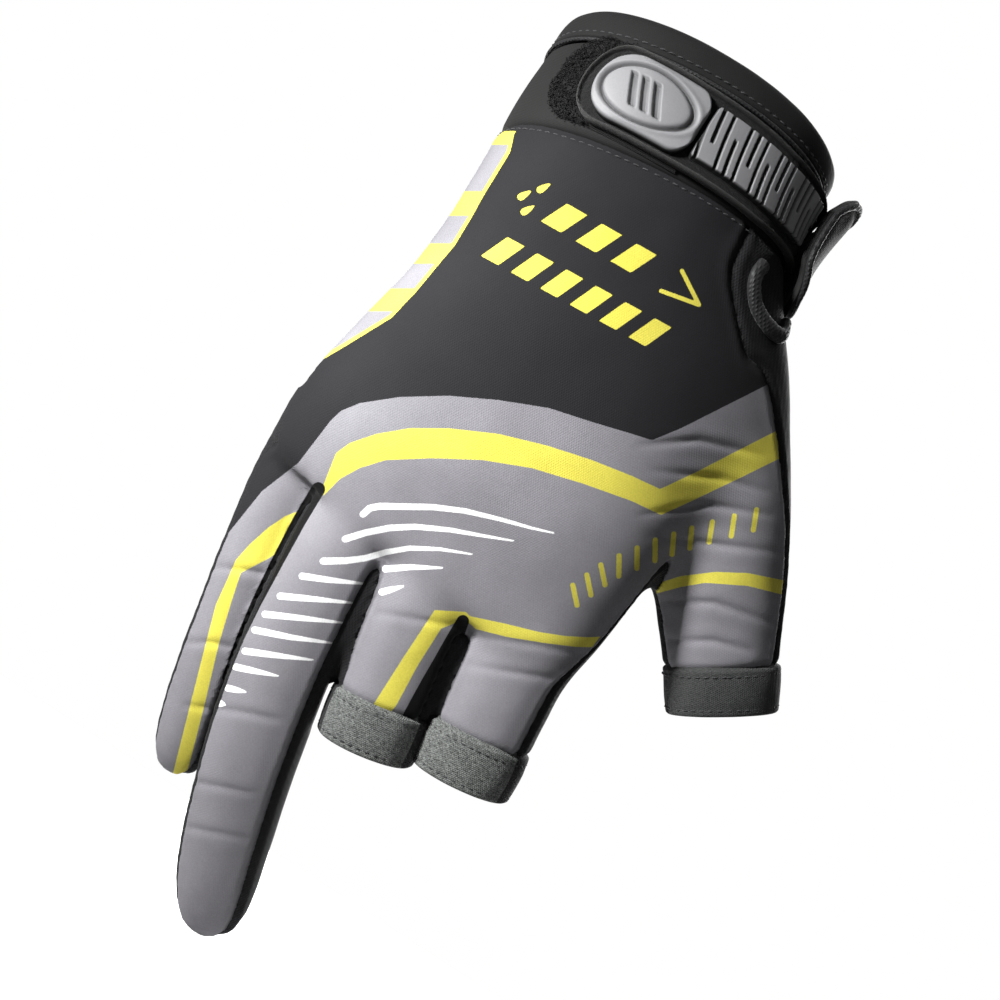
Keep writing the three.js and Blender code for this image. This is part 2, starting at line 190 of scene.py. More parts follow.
def stroke_distance(spots: Array, points: Sequence, half: float, taper: float = 0.0) -> Array:
    """How far inside a drawn line each spot lies: half its width less the distance to the line.

    Args:
        spots: Places on the plane.
        points: The line's corners.
        half: Half its width.
        taper: The share of the width that is gone at the line's end.
    Returns:
        Distances, above zero on the line.
    """
    points = np.asarray(points, float)
    lengths = np.concatenate([[0], np.cumsum(np.hypot(*np.diff(points, axis=0).T))])
    best = np.full(len(spots), -1e9)
    for k, (a, b) in enumerate(zip(points[:-1], points[1:])):
        edge = b - a
        to = spots - a
        t = np.clip(to @ edge / max(edge @ edge, 1e-9), 0, 1)
        run = (lengths[k] + t * (lengths[k + 1] - lengths[k])) / lengths[-1]
        far = np.hypot(*(to - t[:, None] * edge).T)
        best = np.maximum(best, half * (1 - taper * run**2) - far)
    return best


# ---------------------------------------------------------------- meshes


@dataclass
class Mesh:
    """Triangles in millimetres, with named values on the points."""

    points: Array
    faces: Array
    values: dict[str, Array] = field(default_factory=dict)

    def outward(self) -> "Mesh":
        """The mesh with its faces turned out, from the sign of its volume.

        Returns:
            The mesh itself.
        """
        a, b, c = (self.points[self.faces[:, k]] for k in range(3))
        if np.einsum("ij,ij->i", a, np.cross(b, c)).sum() < 0:
            self.faces = self.faces[:, ::-1]
        return self

    @staticmethod
    def merged(parts: Sequence["Mesh"]) -> "Mesh":
        """Several meshes as one; a value that one of them lacks is 0 there.

        Args:
            parts: The meshes.
        Returns:
            One mesh with all their points, triangles and values.
        """
        starts = np.cumsum([0] + [len(p.points) for p in parts[:-1]])
        names = sorted({n for p in parts for n in p.values})
        return Mesh(
            np.concatenate([p.points for p in parts]),
            np.concatenate([p.faces + s for p, s in zip(parts, starts)]),
            {n: np.concatenate([p.values.get(n, np.zeros(len(p.points))) for p in parts]) for n in names},
        )

    def to_object(self, name: str, materials: Sequence[bpy.types.Material]) -> bpy.types.Object:
        """The mesh as a smooth-shaded object at the origin, in metres.

        Args:
            name: The object's name.
            materials: Its materials in order.
        Returns:
            The object, in the scene.
        """
        data = bpy.data.meshes.new(name)
        data.vertices.add(len(self.points))
        data.vertices.foreach_set("co", (self.points * MM).astype(np.float32).ravel())
        data.loops.add(self.faces.size)
        data.loops.foreach_set("vertex_index", self.faces.astype(np.int32).ravel())
        data.polygons.add(len(self.faces))
        data.polygons.foreach_set("loop_start", np.arange(0, self.faces.size, 3, dtype=np.int32))
        data.update(calc_edges=True)
        data.validate()
        data.polygons.foreach_set("use_smooth", np.ones(len(data.polygons), bool))
        for key, values in self.values.items():
            layer = data.attributes.new(key, "FLOAT", "POINT")
            layer.data.foreach_set("value", np.asarray(values, np.float32))
        for material in materials:
            data.materials.append(material)
        made = bpy.data.objects.new(name, data)
        bpy.context.scene.collection.objects.link(made)
        return made


def skin(points: Array, capped: bool) -> Mesh:
    """A closed skin over a grid of points, whose last column joins the first.

    Args:
        points: Rows by columns of places.
        capped: The first and last rows are closed with a fan round their mean; without it they join each other.
    Returns:
        The mesh, with its faces turned out.
    """
    rows, columns = points.shape[:2]
    i = np.arange(rows - capped)[:, None]
    j = np.arange(columns)[None, :]
    below, after = (i + 1) % rows * columns, (j + 1) % columns
    a, b, c, d = i * columns + j, below + j, below + after, i * columns + after
    faces = np.concatenate([np.stack([a, b, c], -1).reshape(-1, 3), np.stack([a, c, d], -1).reshape(-1, 3)])
    flat = points.reshape(-1, 3)
    if capped:
        k = np.arange(columns)
        after = (k + 1) % columns
        flat = np.concatenate([flat, points[[0, -1]].mean(axis=1)])
        top = np.stack([np.full(columns, rows * columns), k, after], -1)
        low = (rows - 1) * columns
        end = np.stack([np.full(columns, rows * columns + 1), low + after, low + k], -1)
        faces = np.concatenate([faces, top, end])
    return Mesh(flat, faces).outward()


def net(values: Array, origin: Array, step: float) -> tuple[Array, Array]:
    """The zero surface of a grid of distances, by surface nets.

    Each cell that the surface passes through gets one point, the mean of the surface's crossings of its edges,
    and each crossed edge gets one square between the four cells round it.

    Args:
        values: Distances on a regular grid, below zero inside.
        origin: The grid's first corner.
        step: Its spacing.
    Returns:
        Points and triangles.
    """
    inside = values < 0
    cells = np.array(values.shape) - 1
    spots, keys, quads = [], [], []
    for axis in range(3):
        v, s = np.moveaxis(values, axis, 0), np.moveaxis(inside, axis, 0)
        i, j, k = np.nonzero(s[:-1] != s[1:])
        near, far = v[i, j, k], v[i + 1, j, k]
        place = [i + near / (near - far), j.astype(float), k.astype(float)]
        order = [0, 1, 2]
        order.remove(axis)
        spot = np.empty((len(i), 3))
        spot[:, axis], spot[:, order[0]], spot[:, order[1]] = place
        ring = []
        for dj, dk in ((1, 1), (0, 1), (0, 0), (1, 0)):
            cell = np.empty((len(i), 3), np.int64)
            cell[:, axis], cell[:, order[0]], cell[:, order[1]] = i, j - dj, k - dk
            ring.append((cell[:, 0] * cells[1] + cell[:, 1]) * cells[2] + cell[:, 2])
            spots.append(spot)
        keys.extend(ring)
        turned = s[i, j, k] if axis != 1 else ~s[i, j, k]
        square = np.stack(ring, -1)
        quads.append(np.where(turned[:, None], square, square[:, ::-1]))
    ids, index = np.unique(np.concatenate(keys), return_inverse=True)
    spots = np.concatenate(spots)
    count = np.bincount(index, minlength=len(ids))
    points = np.stack([np.bincount(index, spots[:, c], len(ids)) / count for c in range(3)], -1)
    square = np.searchsorted(ids, np.concatenate(quads))
    faces = np.concatenate([square[:, [0, 1, 2]], square[:, [0, 2, 3]]])
    return origin + points * step, faces


def cut(points: Array, faces: Array, level: Array) -> tuple[Array, Array]:
    """The part of a triangle mesh where level is above zero, cut along the straight line where it is zero.

    Args:
        points: One row of place and values for each point.
        faces: Triangles.
        level: One number for each point.
    Returns:
        The rows and triangles that are left.
    """
    keep = level > 0
    count = keep[faces].sum(1)
    parts = [faces[count == 3]]
    mixed = faces[(count == 1) | (count == 2)]
    if len(mixed):
        lone = (keep[mixed] == (keep[mixed].sum(1) == 1)[:, None]).argmax(1)
        pick = (lone[:, None] + np.arange(3)) % 3
        mixed = np.take_along_axis(mixed, pick, 1)
        pairs = np.concatenate([mixed[:, [0, 1]], mixed[:, [0, 2]]])
        low, high = pairs.min(1), pairs.max(1)
        key, index = np.unique(low * len(points) + high, return_inverse=True)
        low, high = key // len(points), key % len(points)
        t = (level[low] / (level[low] - level[high]))[:, None]
        fresh = points[low] * (1 - t) + points[high] * t
        first, second = np.split(index + len(points), 2)
        one = keep[mixed[:, 0]]
        a, b, c = mixed.T
        parts.append(np.stack([a, first, second], -1)[one])
        parts.append(np.stack([first, b, c], -1)[~one])
        parts.append(np.stack([first, c, second], -1)[~one])
        points = np.concatenate([points, fresh])
    faces = np.concatenate(parts)
    used, index = np.unique(faces, return_inverse=True)
    return points[used], index.reshape(-1, 3)


def refined(points: Array, faces: Array, wanted: Callable) -> tuple[Array, Array]:
    """The mesh with every edge halved whose middle is wanted; a triangle gets 2, 3 or 4 smaller ones for it.

    Args:
        points: One row of place and values for each point.
        faces: Triangles.
        wanted: Takes rows of middles, and says which edges are halved.
    Returns:
        The finer rows and triangles.
    """
    pairs = np.concatenate([faces[:, [0, 1]], faces[:, [1, 2]], faces[:, [2, 0]]])
    low, high = pairs.min(1), pairs.max(1)
    keys, index = np.unique(low * len(points) + high, return_inverse=True)
    middle = (points[keys // len(points)] + points[keys % len(points)]) / 2
    halved = wanted(middle)
    number = np.where(halved, np.cumsum(halved) - 1 + len(points), -1)
    cuts = number[index].reshape(3, -1).T
    count = (cuts >= 0).sum(1)
    parts = [faces[count == 0]]
    one = count == 1
    first = (cuts[one] >= 0).argmax(1)
    pick = (first[:, None] + np.arange(3)) % 3
    a, b, c = np.take_along_axis(faces[one], pick, 1).T
    m = np.take_along_axis(cuts[one], pick, 1)[:, 0]
    parts += [np.stack([a, m, c], -1), np.stack([m, b, c], -1)]
    two = count == 2
    whole = (cuts[two] < 0).argmax(1)
    pick = (whole[:, None] + np.arange(3)) % 3
    a, b, c = np.take_along_axis(faces[two], pick, 1).T
    _, m, n = np.take_along_axis(cuts[two], pick, 1).T
    parts += [np.stack([a, b, m], -1), np.stack([a, m, n], -1), np.stack([n, m, c], -1)]
    a, b, c = faces[count == 3].T
    k, m, n = cuts[count == 3].T
    parts += [np.stack(t, -1) for t in ((a, k, n), (k, b, m), (n, m, c), (k, m, n))]
    return np.concatenate([points, middle[halved]]), np.concatenate(parts)


def largest_bodies(points: Array, faces: Array, least: int) -> tuple[Array, Array]:
    """The mesh without its loose crumbs: labels spread over the edges until they stop, and small bodies go.

    Args:
        points: One row of place and values for each point.
        faces: Triangles.
        least: How many points a body needs to stay.
    Returns:
        The rows and triangles that are left.
    """
    label = np.arange(len(points))
    for _ in range(400):
        low = label[faces].min(1)
        fresh = label.copy()
        np.minimum.at(fresh, faces.ravel(), np.repeat(low, 3))
        fresh = fresh[fresh]
        if (fresh == label).all():
            break
        label = fresh
    size = np.bincount(label, minlength=len(points))
    faces = faces[size[label[faces[:, 0]]] >= least]
    used, index = np.unique(faces, return_inverse=True)
    return points[used], index.reshape(-1, 3)


# ---------------------------------------------------------------- the glove's tubes


def place(across: Array, rise: Array, down: Array) -> Array:
    """A place in the glove's frame from shares of the palm's width and the hand's length."""
    return np.stack([across * PALM_WIDTH, -rise * HAND_LENGTH, -down * HAND_LENGTH], -1)


@dataclass
class Rings:
    """Rounded rings along a tube.

    Each row of the table holds a ring's centre, three directions, half width, half depth, power and the turns of
    its two seams. The first and last rows stand at the shares `first` and `last`.
    """

    table: Array
    first: float
    last: float
    soft_end: float

    @classmethod
    def made(cls, centre: Array, along: Array, sizes: Array, first: float, last: float, soft: float) -> "Rings":
        """Rings whose back faces -Y as far as the tube's direction lets it.

        Args:
            centre, along: Each ring's middle and the tube's direction there.
            sizes: Half width, half depth, power and the two seams' turns.
            first, last: The shares that the first and last ring stand for.
            soft: How round the tube's far edge is.
        Returns:
            The rings.
        """
        tip = unit(along)
        back = unit(np.array([0.0, -1.0, 0.0]) + tip * tip[:, 1:2])
        return cls(np.hstack([centre, tip, np.cross(back, tip), back, sizes]), first, last, soft)

    def at(self, share: Array) -> Array:
        """The rings at each share, by straight mixing between the stored ones.

        Args:
            share: How far along the tube.
        Returns:
            One row of the table for each.
        """
        index = (share - self.first) / (self.last - self.first) * (len(self.table) - 1)
        i = np.clip(np.floor(index).astype(int), 0, len(self.table) - 2)
        f = np.clip(index - i, 0, 1)[..., None]
        return self.table[i] * (1 - f) + self.table[i + 1] * f

    def surface(self, share: Array | float, turn: Array | float, off: Array | float) -> Array:
        """Places on the rings: x = (wide + off) |sin|^(2/power), y = (deep + off) |cos|^(2/power), with their signs.

        Args:
            share: How far along the tube.
            turn: Degrees round it, from its back towards its side.
            off: How far outside it.
        Returns:
            One place for each.
        """
        share, turn, off = np.broadcast_arrays(share, turn, off)
        row = self.at(share)
        sine, cosine = np.sin(np.radians(turn)), np.cos(np.radians(turn))
        power = 2 / row[..., POWER]
        x = (row[..., WIDE] + off) * np.sign(sine) * np.abs(sine) ** power
        y = (row[..., DEEP] + off) * np.sign(cosine) * np.abs(cosine) ** power
        return row[..., CENTRE] + row[..., SIDE] * x[..., None] + row[..., BACK] * y[..., None]

    def spot(self, points: Array) -> tuple[Array, Array, Array]:
        """Where points lie on the tube.

        A point's ring is the one whose plane holds it. Its distance is |xy| (1 - 1/r), where r is the ring's own
        power sum of x/wide and y/deep, joined smoothly with the distance past the tube's ends.

        Args:
            points: Places in millimetres.
        Returns:
            The distance, the share along the tube and the distance inside the back panel's two seams.
        """
        centre, along = self.table[:, CENTRE], self.table[:, ALONG]
        height = points @ along.T - (centre * along).sum(1)
        i = np.clip((height >= 0).sum(1) - 1, 0, len(centre) - 2)
        pick = np.arange(len(points))
        near, far = height[pick, i], height[pick, i + 1]
        f = np.clip(near / np.maximum(near - far, 1e-6), 0, 1)
        row = self.table[i] * (1 - f[:, None]) + self.table[i + 1] * f[:, None]
        to = points - row[:, CENTRE]
        x, y = (to * row[:, SIDE]).sum(1), (to * row[:, BACK]).sum(1)
        wide, deep, power = row[:, WIDE], row[:, DEEP], row[:, POWER]
        sx, sy = np.abs(x / wide) ** power, np.abs(y / deep) ** power
        r = np.maximum((sx + sy) ** (1 / power), 1e-3)
        reach = np.maximum(np.hypot(x, y), 1e-6)
        away = np.where(r > 0.05, reach * (1 - 1 / r), -np.minimum(wide, deep))
        away = -join(-away, height[:, 0], self.soft_end)
        away = -join(-away, -height[:, -1], self.soft_end)
        turn = np.degrees(np.arctan2(np.sign(x) * np.sqrt(sx), np.sign(y) * np.sqrt(sy)))
        round_side = np.radians(1) * reach / r
        inside = np.minimum((row[:, RIGHT] - turn) * round_side, (turn - row[:, LEFT]) * round_side)
        share = self.first + (i + f) / (len(centre) - 1) * (self.last - self.first)
        return np.clip(away, -FAR, FAR), share, inside


def hand_rings() -> Rings:
    """The hand from the rim to the knuckles, tilted at each ring by its pitch and roll.

    Returns:
        Its rings.
    """
    down = np.linspace(-0.02, HAND_KEYS[-1], 64)
    across, rise, wide, deep, pitch, roll, square, left, right = through(HAND_KEYS, HAND_ROWS, down).T
    low = down < 0
    across = np.where(low, HAND_ROWS[0][0], across)
    rise = rise + np.where(low, down * 0.386, 0)
    pitch, roll = np.radians(pitch), np.radians(roll)
    along = np.stack([np.sin(roll), -np.sin(pitch), -np.cos(pitch)], -1)
    sizes = np.stack([wide * PALM_WIDTH / 2, deep * PALM_WIDTH / 2, square, left, right], -1)
    return Rings.made(place(across, rise, down), along, sizes, down[0], down[-1], 5.0)


class FingerEnd(Enum):
    """How a finger ends, with its table of share, girth and the two seams."""

    CLOSED = (
        (-0.2, 0.72, -74, 46),
        (0.0, 0.97, -74, 46),
        (0.2, 1.0, -74, 46),
        (0.45, 0.98, -74, 46),
        (0.65, 0.94, -74, 45),
        (0.8, 0.88, -74, 44),
        (0.89, 0.8, -74, 44),
        (0.945, 0.67, -74, 44),
        (0.98, 0.46, -74, 44),
        (1.0, 0.16, -74, 44),
    )
    OPEN = (
        (-0.5, 0.92, -64, 52),
        (0.0, 1.0, -64, 52),
        (0.35, 1.0, -64, 52),
        (0.7, 0.98, -64, 52),
        (1.0, 0.95, -64, 52),
    )
    THUMB = (
        (-0.3, 0.94, -80, 2),
        (-0.16, 1.13, -80, 14),
        (0.0, 1.28, -80, 36),
        (0.2, 1.3, -80, 52),
        (0.45, 1.28, -78, 66),
        (0.62, 1.2, -74, 68),
        (0.78, 1.09, -72, 64),
        (0.89, 1.02, -72, 60),
        (1.0, 0.98, -72, 58),
    )


@dataclass(frozen=True)
class Finger:
    """One finger: where it starts, in shares, its size in millimetres and how it leans, sways and curls."""

    name: str
    across: float
    rise: float
    down: float
    length: float
    width: float
    depth: float
    lean: float
    sway: float
    slope: float
    curl: float
    end: FingerEnd
    hem: float = 0.0

    def rings(self) -> Rings:
        """The finger's rings: a step along its lean, with sway and curl growing as the square of the share.

        Returns:
            The rings from its root inside the hand to its end.
        """
        rows = np.array(self.end.value)
        share = np.linspace(rows[0, 0], 1.0, 72)
        left, right = (np.interp(share, rows[:, 0], rows[:, k]) for k in (2, 3))
        girth = through(rows[:, 0], rows[:, 1], share)
        run = np.maximum(share, 0)
        lean = np.radians(self.lean)
        step = np.stack(
            [
                share * np.sin(lean) + run**2 * self.sway,
                share * self.slope + run**2 * self.curl,
                -share * np.cos(lean),
            ],
            -1,
        )
        along = np.stack(
            [
                np.sin(lean) + 2 * run * self.sway,
                self.slope + 2 * run * self.curl,
                np.full_like(run, -np.cos(lean)),
            ],
            -1,
        )
        start = place(np.array(self.across), np.array(self.rise), np.array(self.down))
        sizes = np.stack(
            [self.width / 2 * girth, self.depth / 2 * girth, np.full_like(run, 2.15), left, right], -1
        )
        return Rings.made(start + step * self.length, along, sizes, share[0], 1.0, 0.6)


FINGERS = (
    Finger("little", -0.359, 0.172, 0.953, 71.5, 16.2, 15.8, 8.2, 0.03, 0.12, 0.16, FingerEnd.CLOSED),
    Finger("ring", -0.155, 0.214, 0.963, 95, 21.2, 18.8, 2.6, 0.172, 0.02, 0.22, FingerEnd.CLOSED),
    Finger("middle", 0.092, 0.216, 0.979, 39.6, 22.0, 19.2, 10.3, 0, 0.05, 0.06, FingerEnd.OPEN, 10.5),
    Finger("index", 0.373, 0.208, 0.979, 34.2, 22.8, 19.6, 7.5, 0, 0.05, 0.05, FingerEnd.OPEN, 10.5),
    Finger("thumb", 0.422, 0.117, 0.403, 72, 23.8, 21, 34, 0, 0.05, 0, FingerEnd.THUMB, 10),
)


# ---------------------------------------------------------------- the print, laid out on the front plane


@dataclass(frozen=True)
class Print:
    """The panel's stripes, as outlines in millimetres on the plane of the back of the hand."""

    edge = (
        (-60, -150), (-38.8, -152.1), (-34.4, -132.8), (-33.2, -120.9), (-30, -111.7), (-29.1, -100.2),
        (-28.4, -97.4), (-25.9, -93.8), (-19.5, -88.1), (-10.9, -82.2), (-1.5, -77.2), (8.4, -72.8),
        (17.7, -70.3), (26.2, -67.8), (30.5, -66.6), (34.3, -61.1), (40.3, -50.8), (44.6, -43.4),
        (51.8, -29.9), (120, -20), (120, -260), (-60, -260),
    )  # fmt: skip
    chevron = (
        (-22.9, -112.9), (-24.4, -105.5), (-23.1, -102.1), (-19.5, -97.5), (-14.1, -92.5), (-7.1, -88),
        (2.5, -83.2), (12.8, -79.6), (22.1, -77.1), (31.1, -75.3), (37.6, -74.4), (42.3, -66.8),
        (46.2, -59.9), (51.8, -50.2), (54.4, -45.7), (57.9, -51), (55.3, -55.2), (50.3, -63.6),
        (45.4, -71.6), (40.8, -78.9), (34, -79.8), (23, -82.4), (12.3, -85.5), (2.5, -89.8),
        (-6.5, -95.2), (-14.7, -101), (-18.4, -105.4), (-20.7, -109.7), (-21.7, -114.7),
    )  # fmt: skip
    little = (
        (-24.3, -120.1), (-26.2, -122.7), (-27.9, -126.8), (-29.2, -131.7), (-29.9, -136.2), (-29.2, -140.3),
        (-28.3, -146.4), (-25.1, -156), (-21.5, -166.6), (-16.4, -181.5), (-15, -184.9), (-12.7, -183.4),
        (-13.7, -180.5), (-18.6, -165.9), (-23.2, -153.1), (-26, -143.6), (-27.5, -137.9), (-26.4, -136),
        (-24.3, -132.3), (-22.5, -128.4), (-22.8, -123.2),
    )  # fmt: skip
    middle = (
        (11.4, -144.7), (11.3, -133.6), (11.4, -122.1), (17.2, -118.8), (19.5, -119.4), (17.2, -121.1),
        (14.7, -124.7), (14.8, -133.8), (15.6, -143.7), (15.3, -146.4), (11.5, -148.4),
    )  # fmt: skip
    index = (
        (18.4, -119.1), (25.7, -116.3), (32.6, -113.9), (37.7, -111.6), (41.7, -109.3), (44, -107.7),
        (43.8, -110.5), (40.7, -112.4), (34.5, -115.4), (27.2, -118.6), (21, -120.7), (18.7, -120.4),
    )  # fmt: skip
    thumb = (
        (46.7, -94.3), (47.3, -92.4), (51.4, -87.5), (57, -82.8), (63, -79.2), (70.1, -76.4), (73.7, -75.3),
        (75.3, -77.8), (71.8, -79), (64.5, -81.5), (56.5, -85.9), (52.7, -89.4), (47.8, -94.9),
    )  # fmt: skip
    wrist = (
        (-29.6, -20), (-29.6, -27.9), (-28.2, -31.7), (-27.9, -42.8), (-27.5, -48), (-27.3, -54.8),
        (-27.9, -59.6), (-28.8, -67.4), (-30.2, -75), (-32.5, -79.8), (-35.4, -85.9), (-37.9, -90.9),
        (-60, -104), (-60, -20),
    )  # fmt: skip
    # Each grey block of the wrist stripe lies between two lines that run slanted across it, at these heights.
    wrist_blocks = ((-9.6, -19.5), (-24.7, -30.6), (-34.9, -40.2), (-45.0, -58.0))
    wrist_top = -6.7
    block_inset = 0.75
    slant = 33.0
    # Black gusset cloth that shows beside the print between two fingers: line, half width, share gone at its end.
    gussets = (
        (((-23.4, -114), (-23.1, -122), (-22.3, -131.5), (-21.3, -141.2), (-20, -150), (-18.3, -158.6)), 1.45, 0.7),
        (((20.5, -144.6), (20.0, -139.6), (19.1, -130.8), (17.7, -120.8)), 2.6, 0.5),
    )
    white_half, white_taper = 0.72, 0.75
    white = (
        ((-12.5, -113.3), (-12, -111.4), (-10.4, -109.9), (-0.8, -103.9), (5.3, -100.9), (12.3, -98.4),
         (19.3, -96.2), (23.8, -94.5)),
        ((-12.8, -119.8), (-10, -116.4), (-6.1, -112.6), (-1.6, -109.4), (4.9, -106), (10.8, -103.5),
         (17.5, -100.6)),
        ((-14.2, -126.3), (-10.3, -123.7), (-6.9, -120.8), (-4, -117.4), (-0.2, -113.9), (5.3, -110.6),
         (11.6, -107.8)),
        ((-16.2, -131.4), (-10.8, -128.9), (-3.9, -125.4)),
        ((-2.2, -120.5), (2, -117.3), (8, -113.6)),
        ((-17.8, -137.5), (-11.2, -134), (-3.8, -130.2)),
        ((-0.1, -125), (1.5, -123.2), (3.1, -121.4)),
        ((-18.4, -142.5), (-11.7, -139.1), (-3.5, -135)),
        ((-18.4, -146.5), (-11.3, -143.7), (-2.9, -139.8)),
        ((-17.7, -151.4), (-10.9, -148.2), (-4.5, -145.1)),
        ((-17.5, -155.3), (-8.9, -152)),
        ((-16.5, -160), (-12.8, -158.6)),
        ((-16.1, -163.6), (-15, -163.3)),
    )  # fmt: skip
    # Rows of plain slanted bars: start, end, height, slant, how many.
    bars = (
        ((-21.6, -50.4), (21.2, -47.3), 6.2, 3.0, 6),
        ((-15.2, -37.4), (10.4, -36.0), 6.0, 3.0, 3),
    )
    arrow = ((16.2, -32.9), (23.2, -37), (14.8, -38.9))
    arrow_half = 0.45
    drops = ((-21.1, -38.4), (-18.5, -34.9), (-18.8, -40.7))
    drop_half, drop_taper = 0.75, 0.85
    ticks_line = ((58.1, -68.9), (50, -78), (43.8, -85.9), (38, -94.6), (34.7, -103.2))
    ticks = 11
    tick_half = 0.55
    # The print's values are held within this, and nothing but the grey is printed behind this depth.
    most = 20.0
    front = 40.0

    @staticmethod
    def flat(points: Array) -> Array:
        """Places on the front plane, where lines drawn from them to the point of view meet it.

        Args:
            points: Places in millimetres.
        Returns:
            Across and up for each.
        """
        middle = np.array(VIEW_FROM)[[0, 2]]
        nearer = (PRINT_PLANE - VIEW_FROM[1]) / (points[:, 1:2] - VIEW_FROM[1])
        return middle + (points[:, [0, 2]] - middle) * nearer

    def bar_row(self, spots: Array, start: Sequence, end: Sequence, tall: float, slant: float, n: int) -> Array:
        """A row of slanted bars, each a parallelogram that fills a little over half of its share of the row.

        Args:
            spots: Places on the plane.
            start, end: The row's ends.
            tall, slant: A bar's height and how far its top leans along the row.
            n: How many bars.
        Returns:
            How far inside a bar each spot lies.
        """
        start, end = np.array(start), np.array(end)
        along = (end - start) / np.linalg.norm(end - start)
        up = np.array([-along[1], along[0]])
        to = spots - start
        v = to @ up
        u = to @ along - v / tall * slant
        pitch = np.linalg.norm(end - start) / n
        cell = np.clip(np.floor(u / pitch), 0, n - 1)
        u = u - (cell + 0.5) * pitch
        return np.minimum(pitch * 0.29 - np.abs(u), tall / 2 - np.abs(v))

    def near_edge(self, rows: Array) -> Array:
        """Which points lie within 0.55 of an edge of the print."""
        values = self.values(rows[:, :3])
        return np.min(np.abs(np.stack(list(values.values()))), axis=0) < 0.55

    def values(self, points: Array) -> dict[str, Array]:
        """How far inside each print a point lies.

        Args:
            points: Places in millimetres.
        Returns:
            Millimetres inside the grey, yellow and white print and the black gussets, below zero outside.
        """
        spots = self.flat(points)
        grey = outline_distance(spots, self.edge)
        wrist = outline_distance(spots, self.wrist)
        tilt = np.radians(self.slant)
        height = spots[:, 1] * np.cos(tilt) - spots[:, 0] * np.sin(tilt)
        block = np.full(len(spots), -1e9)
        for high, low in self.wrist_blocks:
            block = np.maximum(block, np.minimum(high - height, height - low))
        block = np.minimum(block, wrist - self.block_inset)
        wrist = np.minimum(wrist, self.wrist_top - height)
        yellow = np.minimum(wrist, -block)
        grey = np.maximum(grey, np.minimum(block, wrist))
        for shape in (self.chevron, self.little, self.middle, self.index, self.thumb):
            yellow = np.maximum(yellow, outline_distance(spots, shape))
        for start, end, tall, slant, n in self.bars:
            yellow = np.maximum(yellow, self.bar_row(spots, start, end, tall, slant, n))
        yellow = np.maximum(yellow, stroke_distance(spots, self.arrow, self.arrow_half))
        for x, z in self.drops:
            drop = stroke_distance(spots, ((x, z), (x + 1.1, z + 2.2)), self.drop_half, self.drop_taper)
            yellow = np.maximum(yellow, drop)
        line = np.array(self.ticks_line)
        for run in np.linspace(0, len(line) - 1, self.ticks):
            i = min(int(run), len(line) - 2)
            edge = line[i + 1] - line[i]
            at = line[i] + edge * (run - i)
            along = edge / np.linalg.norm(edge)
            cross = np.array([-along[1], along[0]]) * 2 + along * 0.9
            yellow = np.maximum(yellow, stroke_distance(spots, (at - cross, at + cross), self.tick_half))
        white = np.full(len(spots), -1e9)
        for stroke in self.white:
            white = np.maximum(white, stroke_distance(spots, stroke, self.white_half, self.white_taper))
        gap = np.full(len(spots), self.most)
        for gusset, half, taper in self.gussets:
            black = -stroke_distance(spots, gusset, half, taper)
            gap = np.minimum(gap, black)
            grey, yellow, white = (np.minimum(x, black) for x in (grey, yellow, white))
        hide = np.where(points[:, 1] < self.front, 0, -1e3)
        made = {"grey_print": grey, "yellow_print": yellow + hide, "white_print": white + hide, "gusset": -gap}
        return {key: np.clip(value, -self.most, self.most) for key, value in made.items()}


# ---------------------------------------------------------------- finishes


class Nodes:
    """A short way to add and join the nodes of one tree."""

    def __init__(self, tree: bpy.types.NodeTree, clear: bool = True) -> None:
        """Starts on a tree, emptied unless it is to keep its nodes."""
        self.tree = tree
        if clear:
            tree.nodes.clear()

    def add(self, kind: str, *inputs: tuple, **settings: object) -> bpy.types.Node:
        """A node with its settings and inputs.

        Args:
            kind: The node's type.
            inputs: Pairs of an input's name or number and its value or the socket that feeds it.
            settings: The node's own properties.
        Returns:
            The node.
        """
        node = self.tree.nodes.new(kind)
        for key, value in settings.items():
            setattr(node, key, value)
        for name, value in inputs:
            if isinstance(value, bpy.types.NodeSocket):
                self.tree.links.new(value, node.inputs[name])
            else:
                node.inputs[name].default_value = value
        return node

    def maths(self, how: str, a: object, b: object = 0.0, clamp: bool = False) -> bpy.types.NodeSocket:
        """One sum of two values or sockets."""
        return self.add("ShaderNodeMath", (0, a), (1, b), operation=how, use_clamp=clamp).outputs[0]

    def mix(self, factor: object, a: object, b: object, blend: str = "MIX") -> bpy.types.NodeSocket:
        """A mix of two colours."""
        return self.add(
            "ShaderNodeMix", (0, factor), (6, a), (7, b), data_type="RGBA", blend_type=blend
        ).outputs[2]

    def value(self, name: str) -> bpy.types.NodeSocket:
        """One of the mesh's named values."""
        return self.add("ShaderNodeAttribute", attribute_name=name).outputs["Fac"]

    def times(self, colour: object, value: bpy.types.NodeSocket) -> bpy.types.NodeSocket:
        """A colour made lighter or darker by a value."""
        tone = self.add("ShaderNodeCombineColor", (0, value), (1, value), (2, value)).outputs[0]
        return self.mix(1.0, colour, tone, "MULTIPLY")

    def feed(self, value: bpy.types.NodeSocket, node: bpy.types.Node, name: str) -> None:
        """Joins a socket to a node's input."""
        self.tree.links.new(value, node.inputs[name])

    def ramp(self, value: object, low: float, high: float, to: tuple[float, float] = (0, 1)) -> bpy.types.NodeSocket:
        """A value stretched from low..high to the range `to`, held at its ends."""
        return self.add(
            "ShaderNodeMapRange", (0, value), (1, low), (2, high), (3, to[0]), (4, to[1])
        ).outputs[0]


def rgba(colour: Colour, times: float = 1.0) -> tuple[float, float, float, float]:
    """A colour with its alpha."""
    return (*(min(c * times, 1.0) for c in colour), 1.0)


